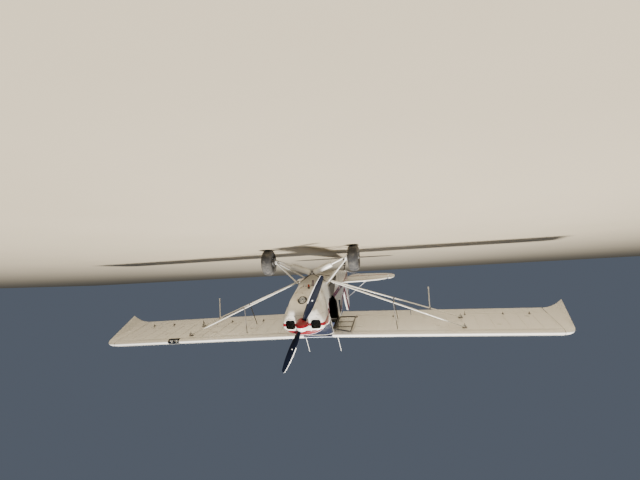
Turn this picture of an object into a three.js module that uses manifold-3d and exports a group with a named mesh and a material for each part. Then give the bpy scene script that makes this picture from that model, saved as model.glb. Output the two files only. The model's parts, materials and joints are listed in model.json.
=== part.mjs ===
// A two-seat, strut-braced, high-wing light aircraft that stands on a tailwheel landing gear.
// Lengths are in millimetres. In the airframe's own frame +X is the aircraft's left, +Y runs aft from
// the wing's leading edge and +Z runs up from the main axle, with the longerons level. The whole
// airframe is then tipped nose up by the ground angle, so that it rests on its three wheels.
import * as THREE from "three";
import { mergeVertices } from "three/addons/utils/BufferGeometryUtils.js";
import Module from "manifold-3d";

const wasm = await Module();
wasm.setup();

const rad = THREE.MathUtils.degToRad;
const V = (x, y, z) => new THREE.Vector3(x, y, z);

// Driving dimensions of the whole aircraft
const GROUND_ANGLE = rad(12.8);
const GAP = 0.4; // between pieces that touch
const SPAN_HALF = 5462;
const CHORD = 1600;
const INCIDENCE = rad(1.6);
const DIHEDRAL = rad(1.1);
const WING_ROOT_X = 326;
const WING_LE_Z = 1696; // leading edge at the root
const TIP_JOINT_X = 5060; // where the drooped tip meets the wing
const HINGE_CHORD = 0.795; // flap and aileron hinge, as a fraction of the chord
const FLAP_OUT_X = 2030;
const THRUST_Z = 1020;
const PROP_Y = -1290;
const PROP_RADIUS = 1060;
const PROP_ANGLE = rad(27); // the blades as parked, from upright
const WHEEL_X = 940;
const WHEEL_Y = 0;
const TYRE_RADIUS = 280;
const TYRE_WIDTH = 224;
const TAIL_TYRE_RADIUS = 115;
const TAIL_FORK_Y = 4990; // swivel axis of the tailwheel
const TAIL_TRAIL = 65;
const TAIL_Z = 1515; // mid-plane of the stabilizer
const TAIL_HINGE_Y = 4975;
const WALL = 18; // cabin wall of tubes, lining and fabric
const STRUT_FOOT = V(388, 120, 500);
const STRUT_FRONT_Y = 253;
const STRUT_REAR_Y = 972;
const STRUT_WING_X = 3150;

// Height of the tail axle that puts both axles on level ground at the ground angle
const TAIL_AXLE_Y = TAIL_FORK_Y + TAIL_TRAIL;
const TAIL_AXLE_Z = ((TAIL_AXLE_Y - WHEEL_Y) * Math.sin(GROUND_ANGLE) + TAIL_TYRE_RADIUS - TYRE_RADIUS)
  / Math.cos(GROUND_ANGLE);

// Finishes
const finish = (color, roughness, metalness = 0) =>
  new THREE.MeshStandardMaterial({ color, roughness, metalness });
const WHITE = finish(0xf0efea, 0.3);
const CRIMSON = finish(0xa3203a, 0.35);
const NAVY = finish(0x1c2230, 0.35, 0.3);
const GLASS = finish(0x8fa0b4, 0.08);
const RUBBER = finish(0x2b2b2c, 0.85);
const STEEL = finish(0x8d9094, 0.4, 0.9);
const ALLOY = finish(0xb9bcc0, 0.35, 0.9);
const DARK = finish(0x222325, 0.6);
const CLOTH = finish(0x6b6257, 0.9);
const LAMP = finish(0xe8edf0, 0.1);

// Solids

function solidOf(geometry) {
  const bare = geometry.clone();
  bare.deleteAttribute("normal");
  bare.deleteAttribute("uv");
  const merged = mergeVertices(bare, 1e-3);
  return new wasm.Manifold(new wasm.Mesh({
    numProp: 3,
    vertProperties: Float32Array.from(merged.attributes.position.array),
    triVerts: Uint32Array.from(merged.index.array),
  }));
}

function geometryOf(solid) {
  const mesh = solid.getMesh();
  const geometry = new THREE.BufferGeometry();
  geometry.setAttribute("position", new THREE.BufferAttribute(Float32Array.from(mesh.vertProperties), 3));
  geometry.setIndex(Array.from(mesh.triVerts));
  return geometry;
}

const join = (...geometries) =>
  geometryOf(geometries.map(solidOf).reduce((whole, piece) => whole.add(piece)));
const cut = (geometry, ...tools) =>
  geometryOf(tools.map(solidOf).reduce((whole, tool) => whole.subtract(tool), solidOf(geometry)));
const common = (geometry, other) => geometryOf(solidOf(geometry).intersect(solidOf(other)));

// Signed volume, to find whether a closed mesh faces out
function volume(geometry) {
  const p = geometry.attributes.position;
  const index = geometry.index;
  const [a, b, c] = [V(), V(), V()];
  let sum = 0;
  for (let i = 0; i < index.count; i += 3) {
    a.fromBufferAttribute(p, index.getX(i));
    b.fromBufferAttribute(p, index.getX(i + 1));
    c.fromBufferAttribute(p, index.getX(i + 2));
    sum += a.dot(b.cross(c)) / 6;
  }
  return sum;
}

const facingOut = (geometry) => (volume(geometry) < 0 ? turnedInsideOut(geometry) : geometry);

function turnedInsideOut(geometry) {
  const index = Array.from(geometry.index.array);
  for (let i = 0; i < index.length; i += 3) {
    [index[i + 1], index[i + 2]] = [index[i + 2], index[i + 1]];
  }
  geometry.setIndex(index);
  return geometry;
}

// Triangles that fill a flat ring, turned the same way round as the ring itself
function fillOf(ring) {
  const after = (i) => ring[(i + 1) % ring.length];
  const normal = ring.reduce((sum, p, i) => sum.add(p.clone().cross(after(i))), V(0, 0, 0));
  const turn = new THREE.Quaternion().setFromUnitVectors(normal.normalize(), V(0, 0, 1));
  const flat = ring.map((p) => p.clone().applyQuaternion(turn)).map((p) => new THREE.Vector2(p.x, p.y));
  const facesUp = ([a, b, c]) => flat[b].clone().sub(flat[a]).cross(flat[c].clone().sub(flat[a])) > 0;
  return THREE.ShapeUtils.triangulateShape(flat, []).map((t) => (facesUp(t) ? t : [t[0], t[2], t[1]]));
}

// A closed skin through rings of equal length, with a flat fill at each end
function loft(rings) {
  const count = rings[0].length;
  const last = (rings.length - 1) * count;
  const index = [];
  for (let base = 0; base < last; base += count) {
    for (let i = 0; i < count; i += 1) {
      const next = (i + 1) % count;
      index.push(base + i, base + next, base + count + next);
      index.push(base + i, base + count + next, base + count + i);
    }
  }
  for (const [a, b, c] of fillOf(rings[0])) {
    index.push(a, c, b);
  }
  for (const [a, b, c] of fillOf(rings[rings.length - 1])) {
    index.push(last + a, last + b, last + c);
  }
  const geometry = new THREE.BufferGeometry();
  const flat = Float32Array.from(rings.flat().flatMap((p) => [p.x, p.y, p.z]));
  geometry.setAttribute("position", new THREE.BufferAttribute(flat, 3));
  geometry.setIndex(index);
  return facingOut(geometry);
}

// The same piece for the aircraft's right side
function mirrored(geometry) {
  const copy = geometry.clone();
  copy.scale(-1, 1, 1);
  if (!copy.index) {
    copy.setIndex([...Array(copy.attributes.position.count).keys()]);
  }
  return turnedInsideOut(copy);
}

// An upright block between two corners
function block(low, high) {
  const size = high.clone().sub(low);
  const middle = low.clone().add(high).divideScalar(2);
  return new THREE.BoxGeometry(size.x, size.y, size.z).translate(middle.x, middle.y, middle.z);
}

// A round bar between two points
function bar(from, to, radius, sides = 12, radiusTo = radius) {
  const geometry = new THREE.CylinderGeometry(radiusTo, radius, from.distanceTo(to), sides);
  const turn = new THREE.Quaternion().setFromUnitVectors(V(0, 1, 0), to.clone().sub(from).normalize());
  const middle = from.clone().add(to).divideScalar(2);
  return geometry.applyQuaternion(turn).translate(middle.x, middle.y, middle.z);
}

// A streamlined tube between two points, its long way kept along the line of flight
function streamTube(from, to, length, thickness, sides = 16) {
  const axis = to.clone().sub(from).normalize();
  const aft = V(0, 1, 0).addScaledVector(axis, -axis.y).normalize();
  const across = axis.clone().cross(aft);
  const ring = (centre) => Array.from({ length: sides }, (_, i) => {
    const angle = (i / sides) * 2 * Math.PI;
    return centre.clone()
      .addScaledVector(aft, Math.cos(angle) * length / 2)
      .addScaledVector(across, Math.sin(angle) * thickness / 2);
  });
  return loft([ring(from), ring(to)]);
}

// A point part of the way between two
const between = (from, to, share) => from.clone().lerp(to, share);

// Turns a drawing plane so that its normal is the named axis: x shows [y, z], y shows [x, z], z shows [x, y]
const PLANES = {
  x: new THREE.Matrix4().makeBasis(V(0, 1, 0), V(0, 0, 1), V(1, 0, 0)),
  y: new THREE.Matrix4().makeBasis(V(1, 0, 0), V(0, 0, 1), V(0, -1, 0)),
  z: new THREE.Matrix4(),
};
const SHIFTS = { x: (at) => [at, 0, 0], y: (at) => [0, at, 0], z: (at) => [0, 0, at] };

// A plate with a drawn outline, its thickness centred on a plane
function plate(outline, thickness, normal, at = 0) {
  const settings = { depth: thickness, steps: 1, bevelEnabled: false };
  return new THREE.ExtrudeGeometry(new THREE.Shape(outline), settings)
    .translate(0, 0, -thickness / 2).applyMatrix4(PLANES[normal]).translate(...SHIFTS[normal](at));
}

// The same with its edges thinned by a bevel all round
function bevelled(outline, thickness, normal, bevel, at = 0) {
  const inner = grown(outline.map((p) => [p.x, p.y]), -bevel);
  const ring = (points, height) => points.map(([x, y]) => V(x, y, height).applyMatrix4(PLANES[normal]));
  const full = outline.map((p) => [p.x, p.y]);
  const half = thickness / 2;
  const edge = Math.max(half - bevel, half * 0.25);
  return loft([ring(inner, -half), ring(full, -edge), ring(full, edge), ring(inner, half)])
    .translate(...SHIFTS[normal](at));
}

// The same outline with every edge moved out by a distance
function grown(outline, by) {
  const P = outline.map(([y, z]) => new THREE.Vector2(y, z));
  const sign = Math.sign(THREE.ShapeUtils.area(P));
  const count = P.length;
  const outward = (from, to) =>
    new THREE.Vector2(to.y - from.y, from.x - to.x).normalize().multiplyScalar(sign);
  return outline.map(([y, z, radius], i) => {
    const before = outward(P[(i + count - 1) % count], P[i]);
    const after = outward(P[i], P[(i + 1) % count]);
    const shift = before.clone().add(after).multiplyScalar(by / (1 + before.dot(after)));
    return [y + shift.x, z + shift.y, radius];
  });
}

// A closed outline through corners, some of them rounded: [across, up, radius]
function outlineOf(corners) {
  const path = new THREE.Path();
  const count = corners.length;
  const P = corners.map(([x, y]) => new THREE.Vector2(x, y));
  corners.forEach(([, , wanted = 0], i) => {
    const here = P[i];
    const room = Math.min(here.distanceTo(P[(i + count - 1) % count]), here.distanceTo(P[(i + 1) % count]));
    const radius = Math.min(wanted, room * 0.45);
    if (radius === 0) {
      path[i === 0 ? "moveTo" : "lineTo"](here.x, here.y);
      return;
    }
    const start = here.clone().add(P[(i + count - 1) % count].clone().sub(here).setLength(radius));
    const end = here.clone().add(P[(i + 1) % count].clone().sub(here).setLength(radius));
    path[i === 0 ? "moveTo" : "lineTo"](start.x, start.y);
    path.quadraticCurveTo(here.x, here.y, end.x, end.y);
  });
  return path.getPoints(4);
}

const aircraft = new THREE.Group();
const airframe = new THREE.Group();
aircraft.add(airframe);

// Adds a piece to the airframe. A pivot, where it has one, becomes the piece's own origin.
function add(name, geometry, material, pivot = V(0, 0, 0)) {
  const mesh = new THREE.Mesh(geometry.clone().translate(-pivot.x, -pivot.y, -pivot.z), material);
  mesh.name = name;
  mesh.position.copy(pivot);
  airframe.add(mesh);
}

// Adds a left piece and its mirror image
function addPair(name, geometry, material, pivot = V(0, 0, 0)) {
  add(name + "_left", geometry, material, pivot);
  add(name + "_right", mirrored(geometry), material, V(-pivot.x, pivot.y, pivot.z));
}

// Fuselage

// Sections from the firewall to the tail post. The sides run straight from the lower corner to the
// shoulder, and a flattened arch closes the top.
const HULL_COLUMNS = ["y", "halfLow", "halfHigh", "bottom", "shoulder", "crown"];
const NOSE_SECTIONS = [
  [-350, 250, 352, 458, 1180, 1356],
  [-160, 288, 354, 468, 1380, 1545],
  [20, 304, 355, 478, 1612, 1694],
];
const BODY_SECTIONS = [
  [19, 304, 355, 478, 1612, 1640],
  [900, 300, 355, 496, 1612, 1640],
  [1604, 267, 328, 560, 1604, 1638],
  [1606, 267, 328, 560, 1592, 1655],
  [2600, 195, 235, 770, 1556, 1622],
  [3800, 104, 126, 1040, 1534, 1580],
  [4950, 22, 26, 1300, 1500, 1535],
];
const ARCH_STEPS = 6;
const ARCH_POWER = 0.62;

const named = (columns, row) => Object.fromEntries(columns.map((name, i) => [name, row[i]]));

function hullRing(row, inset) {
  const s = named(HULL_COLUMNS, row);
  const low = s.halfLow - inset;
  const high = s.halfHigh - inset;
  const bottom = s.bottom + inset;
  const corner = Math.min(45, low * 0.6);
  const right = [[low - corner, bottom], [low - corner * 0.3, bottom + corner * 0.3], [low, bottom + corner]];
  for (let i = 0; i < ARCH_STEPS; i += 1) {
    const angle = (i / ARCH_STEPS) * Math.PI / 2;
    right.push([
      high * Math.cos(angle) ** ARCH_POWER,
      s.shoulder + (s.crown - inset - s.shoulder) * Math.sin(angle) ** ARCH_POWER,
    ]);
  }
  const left = right.map(([x, z]) => [-x, z]).reverse();
  return [...right, [0, s.crown - inset], ...left].map(([x, z]) => V(x, s.y, z));
}

const hull = (rows, inset) => loft(rows.map((row) => hullRing(row, inset)));
const withEnds = (rows, first, last) => rows.map((row, i) => (
  i === 0 ? [first, ...row.slice(1)] : i === rows.length - 1 ? [last, ...row.slice(1)] : row));

// Side-view outlines of what is cut in the walls: [y, z, corner radius]
const DOOR_SPLIT_Z = 1190;
const DOOR_GAP = 6;
const DOOR_OPENING = [[52, 1592], [938, 1592, 30], [938, 1190], [760, 1060, 60], [470, 872, 60],
  [0, 872, 50], [-100, 1100], [-142, 1190]];
const WINDSCREEN = [[-420, 1340], [-330, 1340], [-218, 1226], [-182, 1226], [8, 1612], [8, 1780],
  [-420, 1780]];
const LEFT_WINDOW = [[-124, 1215, 30], [938, 1215, 40], [938, 1574, 30], [66, 1574, 30]];
const REAR_WINDOW = [[1190, 1225, 40], [1530, 1310, 60], [1470, 1574, 50], [1190, 1574, 30]];
const SKYLIGHT = [[-255, 330, 40], [255, 330, 40], [255, 1010, 40], [-255, 1010, 40]];
const CABIN_BACK = [1600, 267, 328, 560, 1592, 1630];

const SIDE = { left: 1, right: -1 };
const sidePrism = (outline, side, by = 0) =>
  plate(outlineOf(grown(outline, by)), 260, "x", SIDE[side] * 330);
const acrossPrism = (outline, by = 0) => plate(outlineOf(grown(outline, by)), 900, "x");

const noseCavity = hull(withEnds(NOSE_SECTIONS, -330, 40), WALL);
const bodyCavity = hull(withEnds([BODY_SECTIONS[0], BODY_SECTIONS[1], CABIN_BACK],
  18.5, CABIN_BACK[0]), WALL);
const roofWell = block(V(-296, 60, 1500), V(296, 1040, 1700));
const roofDoorway = block(V(-330, 15, 1540), V(330, 80, 1600));

const fuselage = cut(
  join(hull(NOSE_SECTIONS, 0), hull(BODY_SECTIONS, 0)),
  noseCavity, bodyCavity, roofWell, roofDoorway,
  acrossPrism(WINDSCREEN), sidePrism(DOOR_OPENING, "right"), sidePrism(LEFT_WINDOW, "left"),
  sidePrism(REAR_WINDOW, "left"), sidePrism(REAR_WINDOW, "right"),
);
add("fuselage", fuselage, WHITE);

// Panes and door leaves are layers of the same form, set in their openings
const PANE_OUT = 5;
const PANE_IN = 9;
const wholeHull = (inset) => join(hull(NOSE_SECTIONS, inset), hull(BODY_SECTIONS, inset));
const layer = (out, inside) => cut(wholeHull(out), wholeHull(inside));
const pane = layer(PANE_OUT, PANE_IN);
add("windscreen", common(pane, acrossPrism(WINDSCREEN, -GAP)), GLASS);
add("window_left", common(pane, sidePrism(LEFT_WINDOW, "left", -GAP)), GLASS);
add("rear_window_left", common(pane, sidePrism(REAR_WINDOW, "left", -GAP)), GLASS);
add("rear_window_right", common(pane, sidePrism(REAR_WINDOW, "right", -GAP)), GLASS);

// Cabin doors on the right side. The upper leaf hinges at its top edge and is folded up under the
// wing. The lower leaf hinges at its bottom edge and hangs down outside.
const UPPER_LEAF = [[58, 1586], [932, 1586, 26], [932, DOOR_SPLIT_Z + 4], [-134, DOOR_SPLIT_Z + 4]];
const LOWER_LEAF = [[928, DOOR_SPLIT_Z - 4, 30], [757, 1068, 60], [467, 879, 60], [7, 879, 40],
  [-91, 1100], [-131, DOOR_SPLIT_Z - 4]];
const UPPER_HINGE = V(-363, 0, 1592);
const LOWER_HINGE = V(-331, 0, 869);
const UPPER_OPEN = rad(94);
const LOWER_OPEN = rad(-175);
const LEAF_RAIL = 30;
const LEAF_BARS_Y = [210, 550];
const LEAF_BAR_WIDTH = 16;
const LEAF_GLASS_DEPTH = 7;

// A closed leaf, turned about its hinge line to where it is parked
const parked = (geometry, hinge, angle) => geometry.translate(0, 0, -hinge.z).translate(-hinge.x, 0, 0)
  .applyMatrix4(new THREE.Matrix4().makeRotationY(angle)).translate(hinge.x, 0, hinge.z);

const glazing = grown(UPPER_LEAF, -LEAF_RAIL);
const glassSlot = sidePrism(glazing, "right");
const barPrisms = LEAF_BARS_Y.map((y) =>
  block(V(-500, y - LEAF_BAR_WIDTH / 2, 1150), V(-200, y + LEAF_BAR_WIDTH / 2, 1620)));
const upperFrame = join(
  cut(common(layer(0, WALL), sidePrism(UPPER_LEAF, "right")), glassSlot),
  ...barPrisms.map((prism) => common(common(layer(LEAF_GLASS_DEPTH + GAP, WALL), prism),
    sidePrism(grown(glazing, 1), "right"))),
);
const upperGlass = common(layer(3, LEAF_GLASS_DEPTH), sidePrism(grown(glazing, -GAP), "right"));
add("door_upper_frame", parked(upperFrame, UPPER_HINGE, UPPER_OPEN), WHITE, UPPER_HINGE);
add("door_upper_glass", parked(upperGlass, UPPER_HINGE, UPPER_OPEN), GLASS, UPPER_HINGE);
const lowerLeaf = common(layer(0, WALL), sidePrism(LOWER_LEAF, "right"));
add("door_lower", parked(lowerLeaf, LOWER_HINGE, LOWER_OPEN), WHITE, LOWER_HINGE);

// Wings

// The section is a four-digit one with its bulge on the upper side: 4 % camber and 12 % thickness
const CAMBER = 0.04;
const CAMBER_AT = 0.4;
const THICKNESS = 0.12;
function sectionPoint(share, side) {
  const x = share;
  const half = 5 * THICKNESS
    * (0.2969 * Math.sqrt(x) - 0.126 * x - 0.3516 * x ** 2 + 0.2843 * x ** 3 - 0.1036 * x ** 4);
  const rise = x < CAMBER_AT
    ? CAMBER / CAMBER_AT ** 2 * (2 * CAMBER_AT * x - x * x)
    : CAMBER / (1 - CAMBER_AT) ** 2 * (1 - 2 * CAMBER_AT + 2 * CAMBER_AT * x - x * x);
  return [x * CHORD, (rise + side * half) * CHORD];
}

// A point of the left wing: outboard of the centreline, aft of and above the local leading edge
const wingPoint = (x, aft, up) => V(x,
  aft * Math.cos(INCIDENCE) + up * Math.sin(INCIDENCE),
  WING_LE_Z + (x - WING_ROOT_X) * Math.tan(DIHEDRAL) + up * Math.cos(INCIDENCE) - aft * Math.sin(INCIDENCE));

const FRONT_SHARES = [0.6, 0.45, 0.3, 0.18, 0.09, 0.035, 0.009];
const topOf = (shares) => shares.map((share) => sectionPoint(share, 1));
const lowOf = (shares) => [...shares].reverse().map((share) => sectionPoint(share, -1));
const wholeOutline = [[CHORD, 6], ...topOf([0.9, 0.77, ...FRONT_SHARES]), [0, 0],
  ...lowOf([0.9, 0.77, ...FRONT_SHARES]), [CHORD, -3]];
const hingeTop = sectionPoint(HINGE_CHORD, 1);
const hingeLow = sectionPoint(HINGE_CHORD, -1);
const HINGE_AFT = HINGE_CHORD * CHORD;
const HINGE_UP = (hingeTop[1] + hingeLow[1]) / 2;
const NOSE_RADIUS = (hingeTop[1] - hingeLow[1]) / 2;
const NOSE_STEPS = 6;
const HINGE_GAP = 9;

// Points on an arc about the hinge, from straight above it, round the front, to straight below
function hingeArc(radius, reach) {
  return Array.from({ length: NOSE_STEPS + 1 }, (_, i) => {
    const angle = Math.PI - reach + (2 * reach * i) / NOSE_STEPS;
    return [HINGE_AFT + radius * Math.cos(angle), HINGE_UP + radius * Math.sin(angle)];
  });
}
const COVE_RADIUS = NOSE_RADIUS + HINGE_GAP;
const coveReach = Math.asin((NOSE_RADIUS + 1) / COVE_RADIUS);
const wingOutline = [...topOf(FRONT_SHARES), [0, 0], ...lowOf(FRONT_SHARES),
  ...hingeArc(COVE_RADIUS, coveReach).reverse()];
const flapOutline = [[CHORD, 6], sectionPoint(0.9, 1), ...hingeArc(NOSE_RADIUS, Math.PI / 2),
  sectionPoint(0.9, -1), [CHORD, -3]];

const wingRing = (x, outline) => outline.map(([aft, up]) => wingPoint(x, aft, up));
const panel = (from, to, outline) => loft([wingRing(from, outline), wingRing(to, outline)]);
addPair("wing", panel(WING_ROOT_X, TIP_JOINT_X, wingOutline), WHITE);
const AILERON_IN_X = FLAP_OUT_X + 15;
const AILERON_OUT_X = TIP_JOINT_X - 12;
const FLAP_IN_X = WING_ROOT_X + 26;
const hingeAt = (x) => wingPoint(x, HINGE_AFT, HINGE_UP);
addPair("flap", panel(FLAP_IN_X, FLAP_OUT_X, flapOutline), WHITE, hingeAt(FLAP_IN_X));
addPair("aileron", panel(AILERON_IN_X, AILERON_OUT_X, flapOutline), WHITE, hingeAt(AILERON_IN_X));

// Drooped tips: each section is shorter than the one before, raked outboard towards its trailing
// edge, and dropped, most at the trailing edge
const TIP_COLUMNS = ["frontX", "backX", "aft", "chord", "frontDrop", "backDrop", "thick"];
const TIP_SECTIONS = [
  [TIP_JOINT_X + 1, TIP_JOINT_X + 1, 0, 1, 0, 0, 1],
  [5150, 5190, 6, 0.99, 4, 25, 0.95],
  [5215, 5310, 28, 0.97, 14, 80, 0.75],
  [5255, 5400, 72, 0.935, 30, 150, 0.5],
  [5275, SPAN_HALF, 130, 0.89, 50, 222, 0.12],
];
function tipRing(row) {
  const s = named(TIP_COLUMNS, row);
  return wholeOutline.map(([aft, up]) => {
    const share = aft / CHORD;
    const drop = s.frontDrop + (s.backDrop - s.frontDrop) * share;
    return wingPoint(s.frontX + (s.backX - s.frontX) * share, s.aft + aft * s.chord, up * s.thick - drop);
  });
}
addPair("wing_tip", loft(TIP_SECTIONS.map(tipRing)), WHITE);

// Roof between the wings, with its skylight
const ROOF_HALF = WING_ROOT_X - 3;
const ROOF_FRONT_Y = 21;
const ROOF_FLOOR_Z = 1641;
const roofBody = plate(wingRing(WING_ROOT_X, wholeOutline).map((p) => new THREE.Vector2(p.y, p.z)),
  2 * ROOF_HALF, "x");
const rootOutline = wingRing(WING_ROOT_X, wingOutline).map((p) => [p.y, p.z]);
const roofInner = plate(outlineOf(grown(rootOutline, -12)), 2 * (ROOF_HALF - 12), "x");
const skylightPrism = (by) => plate(outlineOf(grown(SKYLIGHT, by)), 400, "z", 1850);
const roofBlank = join(roofBody,
  block(V(-ROOF_HALF, ROOF_FRONT_Y, ROOF_FLOOR_Z), V(ROOF_HALF, 1598, 1655)));
const roofTrimmed = cut(roofBlank, block(V(-400, -300, 1400), V(400, ROOF_FRONT_Y, 1900)));
add("roof", cut(roofTrimmed, roofInner, skylightPrism(0),
  block(V(-ROOF_HALF + 12, ROOF_FRONT_Y - 5, 1500), V(ROOF_HALF - 12, 1040, 1672))), WHITE);
const roofSlab = (inset) => plate(outlineOf(grown(rootOutline, -inset)), 700, "x");
add("skylight", cut(common(skylightPrism(-GAP), roofSlab(3)), roofSlab(7),
  block(V(-400, 0, 1500), V(400, 1600, 1720))), GLASS);

// Lift struts and jury struts
const wingLow = (x, y) => {
  const share = y / CHORD;
  return wingPoint(x, y, sectionPoint(share, -1)[1]);
};
const STRUT_LENGTH = 62;
const STRUT_THICK = 30;
const STRUT_DROP = 22;
const FOOT_SPREAD = 66;
const frontTop = wingLow(STRUT_WING_X, STRUT_FRONT_Y).add(V(0, 0, -STRUT_DROP));
const rearTop = wingLow(STRUT_WING_X, STRUT_REAR_Y).add(V(0, 0, -STRUT_DROP));
const frontFoot = STRUT_FOOT.clone().add(V(0, -FOOT_SPREAD / 2, 0));
const rearFoot = STRUT_FOOT.clone().add(V(0, FOOT_SPREAD / 2, 0));
// Each strut ends on a lug under the wing, whose eye also takes a tie-down rope
function lug(x, y) {
  const low = wingLow(x, y).z;
  return block(V(x - 35, y - 8, low - STRUT_DROP - 50), V(x + 35, y + 8, low - 2));
}
addPair("lift_strut_front", join(streamTube(frontFoot, frontTop, STRUT_LENGTH, STRUT_THICK),
  lug(STRUT_WING_X, STRUT_FRONT_Y)), WHITE);

// A rod hangs plumb from each rear strut, the left one farther out
const spotAt = (foot, top, x) => between(foot, top, (x - foot.x) / (top.x - foot.x));
const ROD_LEFT_X = 2610;
const ROD_RIGHT_X = 2470;
const ROD_LENGTH = 480;
const worldDown = V(0, Math.sin(GROUND_ANGLE), -Math.cos(GROUND_ANGLE));
function rearStrut(rodX) {
  const rodTop = spotAt(rearFoot, rearTop, rodX);
  const rodAt = (reach) => rodTop.clone().addScaledVector(worldDown, reach);
  return join(
    streamTube(rearFoot, rearTop, STRUT_LENGTH * 0.8, STRUT_THICK * 0.85),
    lug(STRUT_WING_X, STRUT_REAR_Y),
    bar(rodTop, rodAt(ROD_LENGTH - 30), 12, 10),
    bar(rodAt(ROD_LENGTH - 45), rodAt(ROD_LENGTH), 16, 10),
  );
}
add("lift_strut_rear_left", rearStrut(ROD_LEFT_X), WHITE);
add("lift_strut_rear_right", mirrored(rearStrut(ROD_RIGHT_X)), WHITE);

const JURY_X = 1735;
const JURY_LOW_X = 1690;
const juryFront = spotAt(frontFoot, frontTop, JURY_LOW_X);
const juryRear = spotAt(rearFoot, rearTop, JURY_LOW_X);
const JURY_LIFT = STRUT_THICK / 2 + 10;
const juryFrontTop = wingLow(JURY_X, STRUT_FRONT_Y).add(V(0, 0, -12));
const juryRearTop = wingLow(JURY_X, STRUT_REAR_Y).add(V(0, 0, -12));
const juryLow = (spot) => spot.clone().add(V(0, 0, JURY_LIFT));
addPair("jury_struts", join(
  streamTube(juryLow(juryFront), juryFrontTop, 30, 14, 10),
  streamTube(juryLow(juryRear), juryRearTop, 30, 14, 10),
  bar(juryLow(juryFront).add(V(0, 0, 10)), juryLow(juryRear).add(V(0, 0, 10)), 7, 8),
), WHITE);

// Landing gear: on each side a vee of two tubes hinged at the fuselage, with the axle at its foot
const LEG_FRONT_TOP = V(338, 0, 498);
const LEG_REAR_TOP = V(330, 640, 506);
const LEG_FOOT = V(772, 8, 14);
const LEG_RADIUS = 22;
const AXLE_RADIUS = 19;
const AXLE_OUT_X = 1062;
const BRACKET_IN_X = 748;
const BRACKET_OUT_X = 790;
addPair("gear_leg", join(
  streamTube(LEG_FRONT_TOP, LEG_FOOT, 56, 34),
  streamTube(LEG_REAR_TOP, V(LEG_FOOT.x, 40, 16), 46, 28),
  bar(V(BRACKET_IN_X, WHEEL_Y, 0), V(AXLE_OUT_X, WHEEL_Y, 0), AXLE_RADIUS, 16),
  block(V(BRACKET_IN_X, -35, -32), V(BRACKET_OUT_X, 70, 42)),
), WHITE);

// Shock struts run from a middle cabane to the foot of each leg
const CABANE = V(0, 40, 296);
const SHOCK_IN = V(52, 40, 270);
const SHOCK_OUT = V(440, 45, 112);
const SHOCK_RADIUS = 63;
const SHOCK_END = V(738, 50, -8);
const shockAxis = SHOCK_OUT.clone().sub(SHOCK_IN).normalize();
addPair("shock_strut", join(
  bar(SHOCK_IN, SHOCK_OUT, SHOCK_RADIUS, 20),
  bar(SHOCK_OUT.clone().addScaledVector(shockAxis, -20), SHOCK_END, 20, 12),
  bar(V(33, 40, 279), SHOCK_IN.clone().addScaledVector(shockAxis, 20), 16, 12),
), WHITE);
add("cabane", join(
  bar(V(-286, 10, 474), CABANE, 9, 10), bar(V(286, 10, 474), CABANE, 9, 10),
  bar(V(-286, 560, 486), CABANE, 8, 10), bar(V(286, 560, 486), CABANE, 8, 10),
  block(V(-20, 18, 262), V(20, 62, 318)),
), DARK);

// Wheels
const TYRE_BEAD = 104;
// Half profiles of the turned pieces: across from the middle, radius
const TYRE_PROFILE = [
  [84, TYRE_BEAD], [102, 125], [111, 165], [TYRE_WIDTH / 2, 195], [105, 230], [88, 258], [58, 274],
  [22, TYRE_RADIUS],
];
const RIM_PROFILE = [[84, AXLE_RADIUS + 0.6], [84, 62], [60, 66], [60, 92], [80, TYRE_BEAD - 0.6]];
const TAIL_WHEEL_PROFILE = [[16, 7.6], [16, 40], [24, 62], [25, 85], [18, 106], [6, TAIL_TYRE_RADIUS]];
function turned(profile, x, sides) {
  const both = [...profile, ...[...profile].reverse().map(([across, radius]) => [-across, radius])];
  const points = [...both, both[0]].map(([across, radius]) => new THREE.Vector2(radius, across));
  return facingOut(new THREE.LatheGeometry(points, sides).rotateZ(-Math.PI / 2).translate(x, 0, 0));
}
const wheelPivot = V(WHEEL_X, WHEEL_Y, 0);
const atWheel = (geometry) => geometry.translate(wheelPivot.x, wheelPivot.y, wheelPivot.z);
addPair("main_tyre", atWheel(turned(TYRE_PROFILE, 0, 36)), RUBBER, wheelPivot);
addPair("main_wheel", atWheel(turned(RIM_PROFILE, 0, 24)), ALLOY, wheelPivot);

// Tailwheel on a leaf spring, in a fork that swivels
const FORK_Z = TAIL_AXLE_Z + 168;
const SPRING_WIDTH = 36;
const SPRING_THICK = 14;
const keelAt = (y) => 1040 + (y - 3800) * 260 / 1150;
const springTop = [[4640, keelAt(4640) - 3], [4790, keelAt(4790) - 3, 60],
  [5016, FORK_Z + 10 + SPRING_THICK]];
const spring = outlineOf([...springTop.map(([y, z, radius]) => [y, z - SPRING_THICK, radius]),
  ...springTop.reverse()]);
add("tail_spring", plate(spring, SPRING_WIDTH, "x"), DARK);
const forkPivot = V(0, TAIL_FORK_Y, FORK_Z);
const CHEEK_IN = 30;
const CHEEK_OUT = 38;
const cheekOutline = outlineOf([[TAIL_FORK_Y - 22, FORK_Z - 30], [TAIL_FORK_Y + 26, FORK_Z - 30, 6],
  [TAIL_AXLE_Y + 24, TAIL_AXLE_Z, 8], [TAIL_AXLE_Y + 10, TAIL_AXLE_Z - 22, 8],
  [TAIL_AXLE_Y - 18, TAIL_AXLE_Z - 10, 8]]);
const forkCheek = (side) => plate(cheekOutline, CHEEK_OUT - CHEEK_IN, "x", side * (CHEEK_IN + CHEEK_OUT) / 2);
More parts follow.
